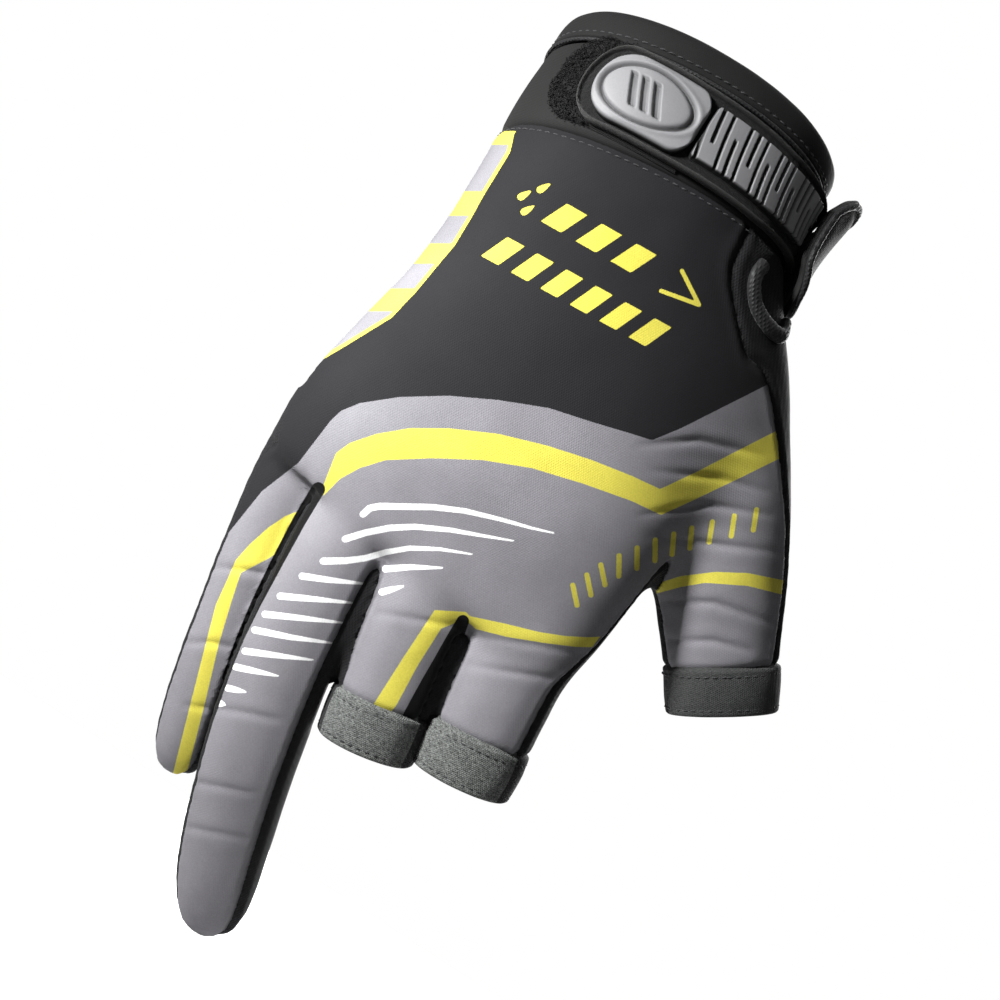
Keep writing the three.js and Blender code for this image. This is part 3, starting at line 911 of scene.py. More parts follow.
class Effects:
    """The shader groups that several finishes share, each built once."""

    made: dict[str, bpy.types.NodeTree] = {}

    @classmethod
    def group(cls, name: str, inputs: dict[str, float], outputs: Sequence[str], fill: Callable) -> bpy.types.NodeTree:
        """A named group, built on first use.

        Args:
            name: The group's name.
            inputs: Its inputs and their first values.
            outputs: Its outputs.
            fill: Adds its nodes, given the tree and the input sockets, and returns the outputs in order.
        Returns:
            The group.
        """
        if name not in cls.made:
            tree = bpy.data.node_groups.new(name, "ShaderNodeTree")
            for key, value in inputs.items():
                socket = tree.interface.new_socket(key, in_out="INPUT", socket_type="NodeSocketFloat")
                socket.default_value = value
            for key in outputs:
                tree.interface.new_socket(key, in_out="OUTPUT", socket_type="NodeSocketFloat")
            nodes = Nodes(tree)
            way_in = nodes.add("NodeGroupInput")
            results = fill(nodes, way_in.outputs)
            nodes.add("NodeGroupOutput", *((k, r) for k, r in enumerate(results)))
            cls.made[name] = tree
        return cls.made[name]

    @classmethod
    def knit(cls) -> bpy.types.NodeTree:
        """Fine jersey: two sets of slanted bands whose product gives rows of small stitches, broken by noise."""

        def fill(nodes: Nodes, given: object) -> tuple:
            """The stitches and their unevenness.

            Args:
                nodes: The group's tree.
                given: Its input sockets.
            Returns:
                Their height, the fine grain and a broad noise.
            """
            place_in = nodes.add("ShaderNodeTexCoord").outputs["Object"]
            heights = []
            for turn in (0.5, -0.5):
                spun = nodes.add("ShaderNodeMapping", (0, place_in), (2, (0.0, turn, turn * 0.4))).outputs[0]
                wave = nodes.add(
                    "ShaderNodeTexWave", (0, spun), ("Scale", given["Scale"]), ("Distortion", 0.6),
                    ("Detail", 1.0), ("Detail Scale", 2.0), wave_type="BANDS", bands_direction="X",
                )  # fmt: skip
                heights.append(wave.outputs["Fac"])
            loops = nodes.maths("MULTIPLY", heights[0], heights[1])
            grain = nodes.add(
                "ShaderNodeTexNoise", (0, place_in), ("Scale", nodes.maths("MULTIPLY", given["Scale"], 4.0)),
                ("Detail", 3.0), ("Roughness", 0.7),
            ).outputs["Fac"]  # fmt: skip
            broad = nodes.add(
                "ShaderNodeTexNoise", (0, place_in), ("Scale", 70.0), ("Detail", 3.0), ("Roughness", 0.6)
            ).outputs["Fac"]
            height = nodes.maths("ADD", nodes.maths("MULTIPLY", loops, 0.6), nodes.maths("MULTIPLY", grain, 0.4))
            return height, grain, broad

        return cls.group("knit_grain", {"Scale": 500.0}, ("Height", "Grain", "Broad"), fill)

    @classmethod
    def heather(cls) -> bpy.types.NodeTree:
        """Mixed yarns: short streaks of noise stretched along the row, over a fine speckle."""

        def fill(nodes: Nodes, given: object) -> tuple:
            """The yarns.

            Args:
                nodes: The group's tree.
                given: Its input sockets.
            Returns:
                How light each yarn is, and the speckle between them.
            """
            place_in = nodes.add("ShaderNodeTexCoord").outputs["Object"]
            spun = nodes.add("ShaderNodeMapping", (0, place_in), (3, (1.0, 1.0, 1.9))).outputs[0]
            streak = nodes.add(
                "ShaderNodeTexNoise", (0, spun), ("Scale", given["Scale"]), ("Detail", 4.0), ("Roughness", 0.75)
            ).outputs["Fac"]
            speck = nodes.add(
                "ShaderNodeTexVoronoi", (0, spun), ("Scale", nodes.maths("MULTIPLY", given["Scale"], 1.7))
            ).outputs["Distance"]
            yarn = nodes.ramp(nodes.maths("ADD", streak, nodes.maths("MULTIPLY", speck, 0.25)), 0.42, 0.85)
            return yarn, speck

        return cls.group("heather_yarn", {"Scale": 1500.0}, ("Yarn", "Speck"), fill)


@dataclass(frozen=True)
class Finish:
    """A finish of one cloth or rubber: its colour, how rough it is and its grain."""

    name: str
    colour: Colour
    rough: float = 0.8
    sheen: float = 0.15
    grain: float = 520.0
    bump: float = 0.00012
    vary: float = 0.16
    specular: float = 0.35

    def shader(self, nodes: Nodes) -> tuple[bpy.types.Node, bpy.types.Node]:
        """The shader with its constants set, joined to the output.

        Args:
            nodes: The material's tree.
        Returns:
            The shader, and the knit group beside it.
        """
        made = nodes.add(
            "ShaderNodeBsdfPrincipled", ("Roughness", self.rough), ("Sheen Weight", self.sheen),
            ("Sheen Roughness", 0.45), ("Specular IOR Level", self.specular),
        )  # fmt: skip
        nodes.add("ShaderNodeOutputMaterial", (0, made.outputs[0]))
        return made, nodes.add("ShaderNodeGroup", ("Scale", self.grain), node_tree=Effects.knit())

    def shaded(self, nodes: Nodes, colour: object, knit: bpy.types.Node) -> bpy.types.NodeSocket:
        """The colour, lighter and darker with the grain and the broad noise."""
        value = nodes.maths("ADD", knit.outputs["Grain"], nodes.maths("MULTIPLY", knit.outputs["Broad"], 0.8))
        return nodes.times(colour, nodes.ramp(value, 0.55, 1.2, (1 - self.vary, 1 + self.vary)))

    def bumped(self, nodes: Nodes, made: bpy.types.Node, height: object) -> None:
        """Joins a height to the shader's normal."""
        bump = nodes.add("ShaderNodeBump", ("Height", height), ("Distance", self.bump), ("Strength", 1.0))
        nodes.feed(bump.outputs[0], made, "Normal")

    def material(self) -> bpy.types.Material:
        """The finish as a material.

        Returns:
            A new material.
        """
        material = bpy.data.materials.new(self.name)
        material.use_nodes = True
        nodes = Nodes(material.node_tree)
        made, knit = self.shader(nodes)
        self.dress(nodes, made, knit)
        material.diffuse_color = rgba(self.colour)
        return material

    def dress(self, nodes: Nodes, made: bpy.types.Node, knit: bpy.types.Node) -> None:
        """One colour with its grain, a rougher crown on each stitch and a bump.

        Args:
            nodes: The material's tree.
            made: The shader.
            knit: The knit group.
        """
        nodes.feed(self.shaded(nodes, rgba(self.colour), knit), made, "Base Color")
        rough = nodes.ramp(knit.outputs["Grain"], 0.3, 0.7, (self.rough - 0.08, min(self.rough + 0.08, 1)))
        nodes.feed(rough, made, "Roughness")
        self.bumped(nodes, made, knit.outputs["Height"])


@dataclass(frozen=True)
class PrintedFinish(Finish):
    """The back panel's printed cloth: black ground, with grey, yellow and white print over it."""

    grey: Colour = (0.185, 0.18, 0.195)
    yellow: Colour = (0.56, 0.5, 0.07)
    white: Colour = (0.8, 0.8, 0.8)
    gusset: Colour = (0.003, 0.003, 0.003)

    def dress(self, nodes: Nodes, made: bpy.types.Node, knit: bpy.types.Node) -> None:
        """Each print is laid where its own value is above zero, with a soft edge as wide as one stitch.

        Args:
            nodes: The material's tree.
            made: The shader.
            knit: The knit group.
        """
        colour: object = rgba(self.colour)
        ragged = nodes.ramp(knit.outputs["Grain"], 0.3, 0.7, (-0.03, 0.03))
        for key, tint in (("grey_print", self.grey), ("yellow_print", self.yellow), ("white_print", self.white)):
            edge = nodes.maths("ADD", nodes.value(key), ragged)
            colour = nodes.mix(nodes.ramp(edge, -0.07, 0.07), colour, rgba(tint))
        colour = nodes.mix(nodes.ramp(nodes.value("gusset"), -0.07, 0.07), colour, rgba(self.gusset))
        dark = nodes.ramp(nodes.value("seam"), 0.0, 1.4, (0.45, 1.0))
        nodes.feed(nodes.times(self.shaded(nodes, colour, knit), dark), made, "Base Color")
        self.bumped(nodes, made, knit.outputs["Height"])


@dataclass(frozen=True)
class HeatherFinish(Finish):
    """Elastic of mixed light and dark yarns, black where the glove's side runs through it."""

    light: Colour = (0.2, 0.21, 0.2)
    side: Colour = (0.008, 0.008, 0.009)
    yarn: float = 1400.0

    def dress(self, nodes: Nodes, made: bpy.types.Node, knit: bpy.types.Node) -> None:
        """Yarns by the heather group; plain black cloth where the value `panel` is below zero.

        Args:
            nodes: The material's tree.
            made: The shader.
            knit: The knit group.
        """
        yarn = nodes.add("ShaderNodeGroup", ("Scale", self.yarn), node_tree=Effects.heather())
        mixed = nodes.mix(yarn.outputs["Yarn"], rgba(self.colour), rgba(self.light))
        colour = nodes.mix(nodes.ramp(nodes.value("panel"), -0.1, 0.1), rgba(self.side), mixed)
        nodes.feed(self.shaded(nodes, colour, knit), made, "Base Color")
        height = nodes.maths("ADD", knit.outputs["Height"], nodes.maths("MULTIPLY", yarn.outputs["Speck"], 0.5))
        self.bumped(nodes, made, height)


@dataclass(frozen=True)
class ReliefFinish(Finish):
    """Felt or moulded rubber: fine grain, with grooves that are much darker than the crown."""

    def dress(self, nodes: Nodes, made: bpy.types.Node, knit: bpy.types.Node) -> None:
        """The value `height` (0 low, 1 high) lightens the crown and darkens the grooves.

        Args:
            nodes: The material's tree.
            made: The shader.
            knit: The knit group.
        """
        high = nodes.ramp(nodes.value("height"), 0.5, 0.93)
        colour = nodes.mix(high, rgba(self.colour, 0.05), rgba(self.colour))
        nodes.feed(self.shaded(nodes, colour, knit), made, "Base Color")
        rough = nodes.ramp(knit.outputs["Broad"], 0.3, 0.7, (self.rough - 0.07, self.rough + 0.1))
        nodes.feed(rough, made, "Roughness")
        self.bumped(nodes, made, knit.outputs["Grain"])


BLACK_KNIT = Finish("black_knit", (0.009, 0.009, 0.01), rough=0.8, sheen=0.05, grain=560, specular=0.2)
CUFF_CLOTH = Finish(
    "cuff_cloth", (0.009, 0.009, 0.0088), rough=0.8, sheen=0.06, grain=760, bump=0.00006, specular=0.2
)
LINING = Finish("lining", (0.035, 0.035, 0.036), rough=0.9, sheen=0.1, grain=500)
FELT = ReliefFinish("strap_felt", (0.03, 0.03, 0.029), rough=0.9, sheen=0.12, grain=900, bump=0.0004, vary=0.5)
LOOPS = Finish("loop_fuzz", (0.002, 0.002, 0.002), rough=0.8, sheen=0.0, grain=900, bump=0.0003, vary=0.4)
BINDING = Finish("binding", (0.012, 0.012, 0.013), rough=0.6, sheen=0.1, grain=380, bump=0.0002)
THREAD = Finish("thread", (0.03, 0.03, 0.032), rough=0.6, sheen=0.2, grain=1500, bump=0.00008)
PALE_THREAD = Finish("pale_thread", (0.2, 0.2, 0.21), rough=0.6, sheen=0.2, grain=1500, bump=0.00008)
PANEL = PrintedFinish(
    "printed_cloth", (0.011, 0.0108, 0.0122), rough=0.8, sheen=0.03, grain=680, bump=0.00005, specular=0.16
)
HEATHER = HeatherFinish("heather_elastic", (0.018, 0.02, 0.019), rough=0.9, sheen=0.08, grain=800, bump=0.00015)
DARK_ELASTIC = replace(HEATHER, name="dark_elastic", light=(0.05, 0.052, 0.05))
RUBBER = ReliefFinish("grey_rubber", (0.2, 0.2, 0.207), rough=0.5, sheen=0.0, grain=700, bump=0.00005, vary=0.08)


# ---------------------------------------------------------------- stitches and cords


def stitches(path: Array, normals: Array, pitch: float, length: float, radius: float, lift: float) -> Mesh:
    """A row of thread stitches along a path, each a bent capsule whose ends dip into the cloth.

    Args:
        path, normals: Points of the path and the cloth's normal at each.
        pitch: From one stitch to the next.
        length, radius: The size of one stitch.
        lift: How far its middle stands off the path.
    Returns:
        All the stitches as one mesh.
    """
    run = np.concatenate([[0], np.cumsum(np.linalg.norm(np.diff(path, axis=0), axis=1))])
    at = np.arange(pitch / 2, run[-1], pitch)
    centre = np.stack([np.interp(at, run, path[:, k]) for k in range(3)], -1)
    ahead = np.stack([np.interp(at + 0.2, run, path[:, k]) for k in range(3)], -1)
    normal = unit(np.stack([np.interp(at, run, normals[:, k]) for k in range(3)], -1))
    along = unit(ahead - centre + 1e-6)
    side = unit(np.cross(normal, along))
    u = np.array([-0.5, -0.42, -0.2, 0.0, 0.2, 0.42, 0.5])
    girth = np.array([0.1, 0.7, 1.0, 1.0, 1.0, 0.7, 0.1]) * radius
    angle = np.radians(np.arange(0, 360, 60))
    x = np.repeat(u * length, 6)
    y = (girth[:, None] * np.cos(angle)).ravel()
    z = (girth[:, None] * np.sin(angle)).ravel() + np.repeat(lift - 4 * u**2 * (lift + radius), 6)
    local = skin(np.stack([x, y, z], -1).reshape(7, 6, 3), capped=True)
    p = local.points
    points = (
        centre[:, None]
        + along[:, None] * p[None, :, 0:1]
        + side[:, None] * p[None, :, 1:2]
        + normal[:, None] * p[None, :, 2:3]
    )
    faces = local.faces[None] + (np.arange(len(at)) * len(p))[:, None, None]
    return Mesh(points.reshape(-1, 3), faces.reshape(-1, 3))


def piping(path: Array, normals: Array, wide: float, tall: float, closed: bool = False, sides: int = 12) -> Mesh:
    """A rounded cord laid on a path: an ellipse carried along it.

    Args:
        path, normals: Points of the path and the cloth's normal at each.
        wide, tall: The ellipse's half sizes.
        closed: The path's end joins its start.
        sides: How many sides the cord has.
    Returns:
        The cord.
    """
    if closed:
        along = unit(np.roll(path, -1, 0) - np.roll(path, 1, 0))
    else:
        along = unit(np.gradient(path, axis=0))
    side = unit(np.cross(normals, along))
    up = unit(np.cross(along, side))
    angle = np.radians(np.arange(sides) * 360 / sides)
    across, out = wide * np.cos(angle)[:, None], tall * np.sin(angle)[:, None]
    loop = path[:, None] + side[:, None] * across + up[:, None] * out
    return skin(loop, capped=not closed)


def dressed(mesh: Mesh, name: str, finish: Finish, slot: str, *nodes: str) -> bpy.types.Object:
    """Makes the object, lets it ride on the glove and reports it.

    Args:
        mesh, name, finish: What it is made of.
        slot: The record's slot that it takes its finish from.
        nodes: The CAD nodes that it stands for.
    Returns:
        The object.
    """
    made = mesh.to_object(name, [finish.material()])
    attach(made, "root")
    if nodes:
        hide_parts(*nodes)
    LOG.info("%s: %d triangles", name, len(mesh.faces))
    return made


# ---------------------------------------------------------------- the glove's body


@dataclass
class GloveBody:
    """The sewn cloth of hand and fingers: one smooth skin, cut along the seams into back and palm."""

    hand: Rings
    fingers: dict[str, Rings]
    step: float
    coarse: float = 4.0
    least: tuple = (-42.0, -44.0)
    most: tuple = (92.0, 26.0)
    ends: float = 17.0
    reach: float = 11.0
    # Finger, radius of its join with the one before, height below which the join fades.
    webs: tuple = (("ring", 2.2, -134), ("middle", 5.5, -150), ("index", 3.0, -146))
    hand_web: float = 3.0
    thumb_web: float = 9.0
    crumb: int = 60
    # Creases of the cloth: line on the front plane, depth.
    creases: tuple = (
        (((28.9, -68.9), (39, -61), (52, -56.5)), 0.3),
        (((33.6, -72.2), (47, -65.5), (57, -62.4)), 0.26),
        (((37, -81.3), (48.4, -71.4), (60.5, -66.2)), 0.34),
        (((41.1, -83.8), (54.8, -77.4), (66, -72)), 0.3),
        (((49.5, -94.8), (60.5, -88.4), (73, -85.4)), 0.34),
        (((55.1, -101.3), (64.9, -95.2), (72, -93)), 0.3),
        (((-22, -168), (-12, -163), (-4, -160)), 0.28),
        (((-19, -184), (-10, -180), (0, -176)), 0.3),
        (((-15, -192), (-6, -189), (4, -185)), 0.25),
        (((-33, -140), (-27, -137), (-21, -134.5)), 0.25),
        (((-31, -158), (-25, -154), (-18, -151.5)), 0.25),
        (((2, -129), (9, -126), (16, -123)), 0.22),
        (((24, -128), (33, -124), (42, -120)), 0.25),
        (((22, -122), (33, -117), (43, -113)), 0.2),
    )

    def tubes(self, points: Array) -> dict[str, tuple[Array, Array, Array]]:
        """Distance, share and seam value of every tube at every point, worked out only near each tube.

        Args:
            points: Places in millimetres.
        Returns:
            The three values for each tube by its name.
        """
        made = {}
        for name, rings in (("hand", self.hand), *self.fingers.items()):
            reach = rings.table[:, WIDE].max() + self.reach
            low, high = rings.table[:, CENTRE].min(0) - reach, rings.table[:, CENTRE].max(0) + reach
            near = np.flatnonzero(((points > low) & (points < high)).all(1))
            away, share, inside = np.full(len(points), FAR), np.zeros(len(points)), np.zeros(len(points))
            for some in np.array_split(near, max(1, len(near) // 200000)):
                away[some], share[some], inside[some] = rings.spot(points[some])
            made[name] = (away, share, inside)
        return made

    def distance(self, points: Array, tubes: dict | None = None) -> Array:
        """The skin's distance: the tubes joined with webs that are deep at the fingers' roots and fade below them.

        Args:
            points: Places in millimetres.
            tubes: The tubes' values there, where they are known.
        Returns:
            One distance for each point, below zero inside.
        """
        tubes = tubes or self.tubes(points)
        made = tubes["little"][0]
        for name, radius, low in self.webs:
            web = 0.8 + (radius - 0.8) * ease(low, low + 14, points[:, 2])
            made = join(made, tubes[name][0], web)
        made = join(made, tubes["hand"][0], self.hand_web)
        thumb_web = 1.0 + (self.thumb_web - 1.0) * ease(-112, -98, points[:, 2])
        return join(made, tubes["thumb"][0], thumb_web)

    def normals(self, points: Array, base: Array) -> Array:
        """The slope of the distance, whose value is base, from a small step along each axis."""
        step = 0.05
        return np.stack([self.distance(points + axis * step) - base for axis in np.eye(3)], -1) / step

    def skin(self) -> tuple[Array, Array]:
        """The whole skin, drawn onto the true surface by two Newton steps.

        Returns:
            Its points and triangles.
        """
        heights = np.concatenate([r.table[:, 2] for r in (self.hand, *self.fingers.values())])
        low = np.array([*self.least, heights.min() - self.ends])
        high = np.array([*self.most, heights.max() + self.ends])
        axes = [np.arange(a, b, self.step) for a, b in zip(low, high)]
        coarse = [np.arange(a, b + self.coarse, self.coarse) for a, b in zip(low, high)]
        grid = np.stack(np.meshgrid(*coarse, indexing="ij"), -1)
        rough = self.distance(grid.reshape(-1, 3)).reshape(grid.shape[:3])
        index = [
            np.clip(np.round((axis - a) / self.coarse).astype(int), 0, n - 1)
            for axis, a, n in zip(axes, low, rough.shape)
        ]
        values = rough[np.ix_(*index)]
        close = np.argwhere(np.abs(values) < 7.0)
        spots = np.stack([axes[k][close[:, k]] for k in range(3)], -1)
        values[tuple(close.T)] = self.distance(spots)
        points, faces = net(values, low, self.step)
        for _ in range(2):
            base = self.distance(points)
            slope = self.normals(points, base)
            points = points - slope * (base / np.maximum((slope**2).sum(1), 0.2))[:, None]
        tubes = self.tubes(points)
        apart = np.abs(tubes["little"][0] - tubes["ring"][0])
        return self.rounded(points, faces, 0.6 * ease(2.0, 0.8, apart)), faces

    @staticmethod
    def rounded(points: Array, faces: Array, amount: Array, rounds: int = 8) -> Array:
        """Moves each point towards the middle of its neighbours, to even out a sharp crease.

        Args:
            points, faces: The skin.
            amount: How much of the way each point goes.
            rounds: How many times.
        Returns:
            The points in their new places.
        """
        a, b = faces.T.ravel(), faces[:, [1, 2, 0]].T.ravel()
        ends, others = np.concatenate([a, b]), np.concatenate([b, a])
        count = np.maximum(np.bincount(ends, minlength=len(points)), 1)
        for _ in range(rounds):
            total = [np.bincount(ends, points[others, k], len(points)) for k in range(3)]
            points = points + amount[:, None] * (np.stack(total, -1) / count[:, None] - points)
        return points

    def relief(self, points: Array, seam: Array) -> Array:
        """How far the cloth stands in or out: a groove and puckers along the seam, creases and soft waves.

        Args:
            points: Places in millimetres.
            seam: How far inside the back panel's seam each lies.
        Returns:
            One height for each point.
        """
        groove = -0.55 * np.exp(-((seam / 0.75) ** 2)) + 0.22 * np.exp(-(((np.abs(seam) - 1.9) / 1.1) ** 2))
        run = points[:, 2] * 0.9 + points[:, 0] * 0.45
        pucker = 0.05 * np.sin(run * 2.3 + 1.5 * ripple(points, 9, 3)) * np.exp(-((seam / 2.6) ** 2))
        spots = Print.flat(points)
        folds = np.zeros(len(points))
        for line, depth in self.creases:
            far = -stroke_distance(spots, line, 0.0)
            middle = np.mean(line, axis=0)
            fade = np.exp(-((np.hypot(*(spots - middle).T) / 11) ** 2))
            folds -= 1.25 * depth * fade * (np.exp(-((far / 0.7) ** 2)) - 0.3 * np.exp(-(((far - 2.0) / 1.5) ** 2)))
        folds *= ease(0.0, 3.0, seam)
        waves = 0.16 * ripple(points, 15, 5) + 0.07 * ripple(points, 6, 8)
        return groove + pucker + folds + waves

    def build(self) -> None:
        """Makes the back panel and the palm, each a shell of cloth with an inner face."""
        points, faces = self.skin()
        tubes = self.tubes(points)
        away = np.stack([t[0] for t in tubes.values()])
        weight = np.exp(-(away - away.min(0)) / 1.1)
        seam = (np.stack([t[2] for t in tubes.values()]) * weight).sum(0) / weight.sum(0)
        base = self.distance(points, tubes)
        slope = unit(self.normals(points, base))
        keep = (tubes["hand"][1] - CUFF_SHARE) * HAND_LENGTH + 0.3
        keep = np.where(tubes["hand"][0] < 11.9, keep, 20.0)
        for finger in FINGERS:
            if finger.hem:
                others = np.min([t[0] for n, t in tubes.items() if n != finger.name], axis=0)
                left = (1 - tubes[finger.name][1]) * finger.length - finger.hem + 0.4
                left = np.where(tubes[finger.name][0] < 11, left, 20.0)
                keep = np.minimum(keep, np.maximum(left, tubes[finger.name][0] - others))
        tuck = -0.9 * np.exp(-((np.maximum(keep, 0) / 1.1) ** 2))
        points = points + slope * (self.relief(points, seam) + tuck)[:, None]
        table = np.column_stack([points, seam, keep])
        table, faces = cut(table, faces, table[:, 4])
        for name, sign, finish, slot, node in (
            ("printed_back", 1, PANEL, "back_panel", "back_panel"),
            ("palm_side", -1, BLACK_KNIT, "palm_panel", "palm_panel"),
        ):
            rows, some = cut(table, faces, table[:, 3] * sign)
            rows, some = largest_bodies(rows, some, self.crumb)
            if sign > 0:
                rows, some = refined(rows, some, Print().near_edge)
            values = Print().values(rows[:, :3]) if sign > 0 else {}
            values["seam"] = np.abs(rows[:, 3])
            made = dressed(Mesh(rows[:, :3], some, values), name, finish, slot, node)
            made.data.materials.append(bpy.data.materials.get("lining") or LINING.material())
            wall = made.modifiers.new("cloth", "SOLIDIFY")
            wall.thickness, wall.offset, wall.material_offset = CLOTH * MM, -1, 1
            wall.use_rim = True
            wall.material_offset_rim = 1


# ---------------------------------------------------------------- hems, cuff, strap, flap


@dataclass
class FingerHems:
    """The elastic hems round the open ends of middle finger, index finger and thumb."""

    fingers: dict[str, Rings]
    proud: float = 0.05
    edge_turn: float = -80.0

    def hem(self, finger: Finger) -> Mesh:
        """A closed band: its profile of along and off is carried right round the finger.

        Args:
            finger: The finger that it ends.
        Returns:
            The band, with the value `panel`.
        """
        rings = self.fingers[finger.name]
        tall = finger.hem
        profile = np.array(
            [
                (-0.9, -0.75), (-0.2, -0.5), (0.05, -0.05), (0.3, 0.25), (0.9, 0.38), (1.5, 0.3), (1.9, 0.4),
                (tall * 0.35, 0.5), (tall * 0.5, 0.52), (tall * 0.65, 0.5), (tall - 1.8, 0.42),
                (tall - 1.3, 0.3), (tall - 0.8, 0.4), (tall - 0.3, 0.3), (tall, 0.0), (tall, -0.5),
                (tall - 0.3, -0.85), (tall - 1.0, -1.0), (tall * 0.5, -1.05), (0.6, -1.1), (-0.6, -1.05),
            ]
        )  # fmt: skip
        turn = np.arange(0, 360, 2.0)
        along, turns = np.broadcast_arrays(profile[:, 0][:, None], turn[None, :])
        share = 1 - (tall - along) / finger.length
        points = rings.surface(share, turns, profile[:, 1][:, None] + self.proud)
        wobble = ripple(points, 3.0, 4) * 0.12 + ripple(points, 9.0, 6) * 0.2
        middle = points.mean(axis=1, keepdims=True)
        points = points + unit(points - middle) * (wobble * (profile[:, 1] > -0.2)[:, None])[..., None]
        made = skin(points, capped=False)
        row = rings.at(share)
        signed = (turns + 180) % 360 - 180
        inside = np.minimum(row[..., RIGHT] - signed, signed - row[..., LEFT])
        made.values["panel"] = (inside * np.radians(finger.width / 2)).ravel()
        return made

    def seam_edge(self) -> None:
        """The turned seam edge down the index finger's outer side, to just below its hem, with pale thread on it."""
        rings = self.fingers["index"]
        share = np.linspace(0.1, 1.03, 60)
        path = rings.surface(share, self.edge_turn, 0.25 + 0.5 * ease(0.66, 0.72, share))
        out = unit(rings.surface(share, self.edge_turn, 3.0) - path)
        dressed(piping(path, out, 0.75, 0.5), "index_seam_edge", BINDING, "palm_panel")
        row = stitches(path + out * 0.42 - (0, 0.45, 0), unit(out - (0, 0.8, 0)), 1.5, 1.15, 0.15, 0.1)
        dressed(row, "index_seam_thread", PALE_THREAD, "palm_panel")

    def build(self) -> None:
        """Makes the hems with two rows of thread on each, and the index finger's seam edge."""
        self.seam_edge()
        for finger in FINGERS:
            if not finger.hem:
                continue
            finish = DARK_ELASTIC if finger.name == "thumb" else HEATHER
            dressed(self.hem(finger), finger.name + "_elastic", finish, finger.name + "_hem", finger.name + "_hem")
            rings = self.fingers[finger.name]
            turn = np.arange(0, 361, 3.0)
            rows = []
            for along, off in ((1.5, 0.33), (finger.hem - 1.35, 0.32)):
                share = 1 - (finger.hem - along) / finger.length
                path = rings.surface(share, turn, off)
                rows.append(stitches(path, unit(path - path.mean(0)), 1.9, 1.5, 0.16, 0.14))
            dressed(Mesh.merged(rows), finger.name + "_hem_thread", THREAD, finger.name + "_hem")


@dataclass
class Cuff:
    """The padded cuff, with its folded hem, piping and stitches."""

    hand: Rings
    hem_proud: float = 0.6

    def band(self, profile: Array, puff: float, seed: int) -> Mesh:
        """A closed profile carried right round the wrist.

        Args:
            profile: Millimetres below the rim and off the hand's surface.
            puff: How much the outside swells and dips.
            seed: Which noise.
        Returns:
            The band.
        """
        turn = np.arange(0, 360, 1.2)
        down = profile[:, 0][:, None] / HAND_LENGTH
        points = self.hand.surface(down, turn[None, :], profile[:, 1][:, None])
        middle = points.mean(axis=1, keepdims=True)
        outer = (profile[:, 1] > -1.2)[:, None]
        wave = ripple(points, 14, seed) * 0.35 + ripple(points, 5, seed + 1) * 0.1
        return skin(points + unit(points - middle) * (wave * puff * outer)[..., None], capped=False)

    def build(self) -> None:
        """Makes the padded wall, the hem, the piping under it and its row of stitches."""
        low, high = CUFF_HEM_SHARE * HAND_LENGTH, CUFF_SHARE * HAND_LENGTH
        span = np.linspace(0, 1, 34)
        outer = np.stack([low + 0.2 + span * (high - low - 0.2), 0.45 * np.sin(np.pi * span) ** 0.6 - 0.15], -1)
        outer[-3:, 1] -= (0.1, 0.3, 0.7)
        outer[:2, 1] -= (0.7, 0.25)
        inner = np.stack([np.linspace(high - 0.4, low + 0.6, 9), np.full(9, -CUFF_WALL)], -1)
        wall = self.band(np.concatenate([outer, [(high, -1.4)], inner, [(low + 0.2, -1.6)]]), 1.0, 11)
        dressed(wall, "padded_cuff", CUFF_CLOTH, "cuff", "cuff")
        top = self.hem_proud
        fold = np.array(
            [
                (low - 0.1, -0.6), (low - 0.15, top - 0.2), (low - 0.45, top - 0.02), (low - 0.9, top + 0.02),
                (low - 1.3, top - 0.16), (low - 1.7, top - 0.02), (low - 2.6, top + 0.06), (low * 0.4, top + 0.1),
                (1.4, top), (0.7, top - 0.18), (0.2, top - 0.6), (-0.12, -0.3), (-0.15, -1.1), (0.1, -1.9),
                (0.6, -2.4), (1.6, -2.6), (low * 0.5, -2.65), (low - 0.3, -2.55), (low - 0.05, -1.8),
            ]
        )  # fmt: skip
        dressed(self.band(fold, 0.7, 21), "cuff_fold", CUFF_CLOTH, "cuff_hem", "cuff_hem")
        turn = np.arange(0, 360, 1.5)
        path = self.hand.surface((low + 0.35) / HAND_LENGTH, turn, 0.35)
        normal = unit(path - path.mean(0))
        dressed(piping(path, normal, 0.42, 0.42, closed=True), "cuff_piping", BINDING, "cuff_hem")
        path = self.hand.surface((low - 1.3) / HAND_LENGTH, np.append(turn, 360), top - 0.12)
        thread = stitches(path, unit(path - path.mean(0)), 2.1, 1.6, 0.17, 0.14)
        base = self.hand.surface((high + 1.2) / HAND_LENGTH, np.append(turn, 360), -0.12)
        seam = stitches(base, unit(base - base.mean(0)), 2.1, 1.5, 0.14, 0.1)
        dressed(Mesh.merged([thread, seam]), "cuff_thread", THREAD, "cuff_hem")


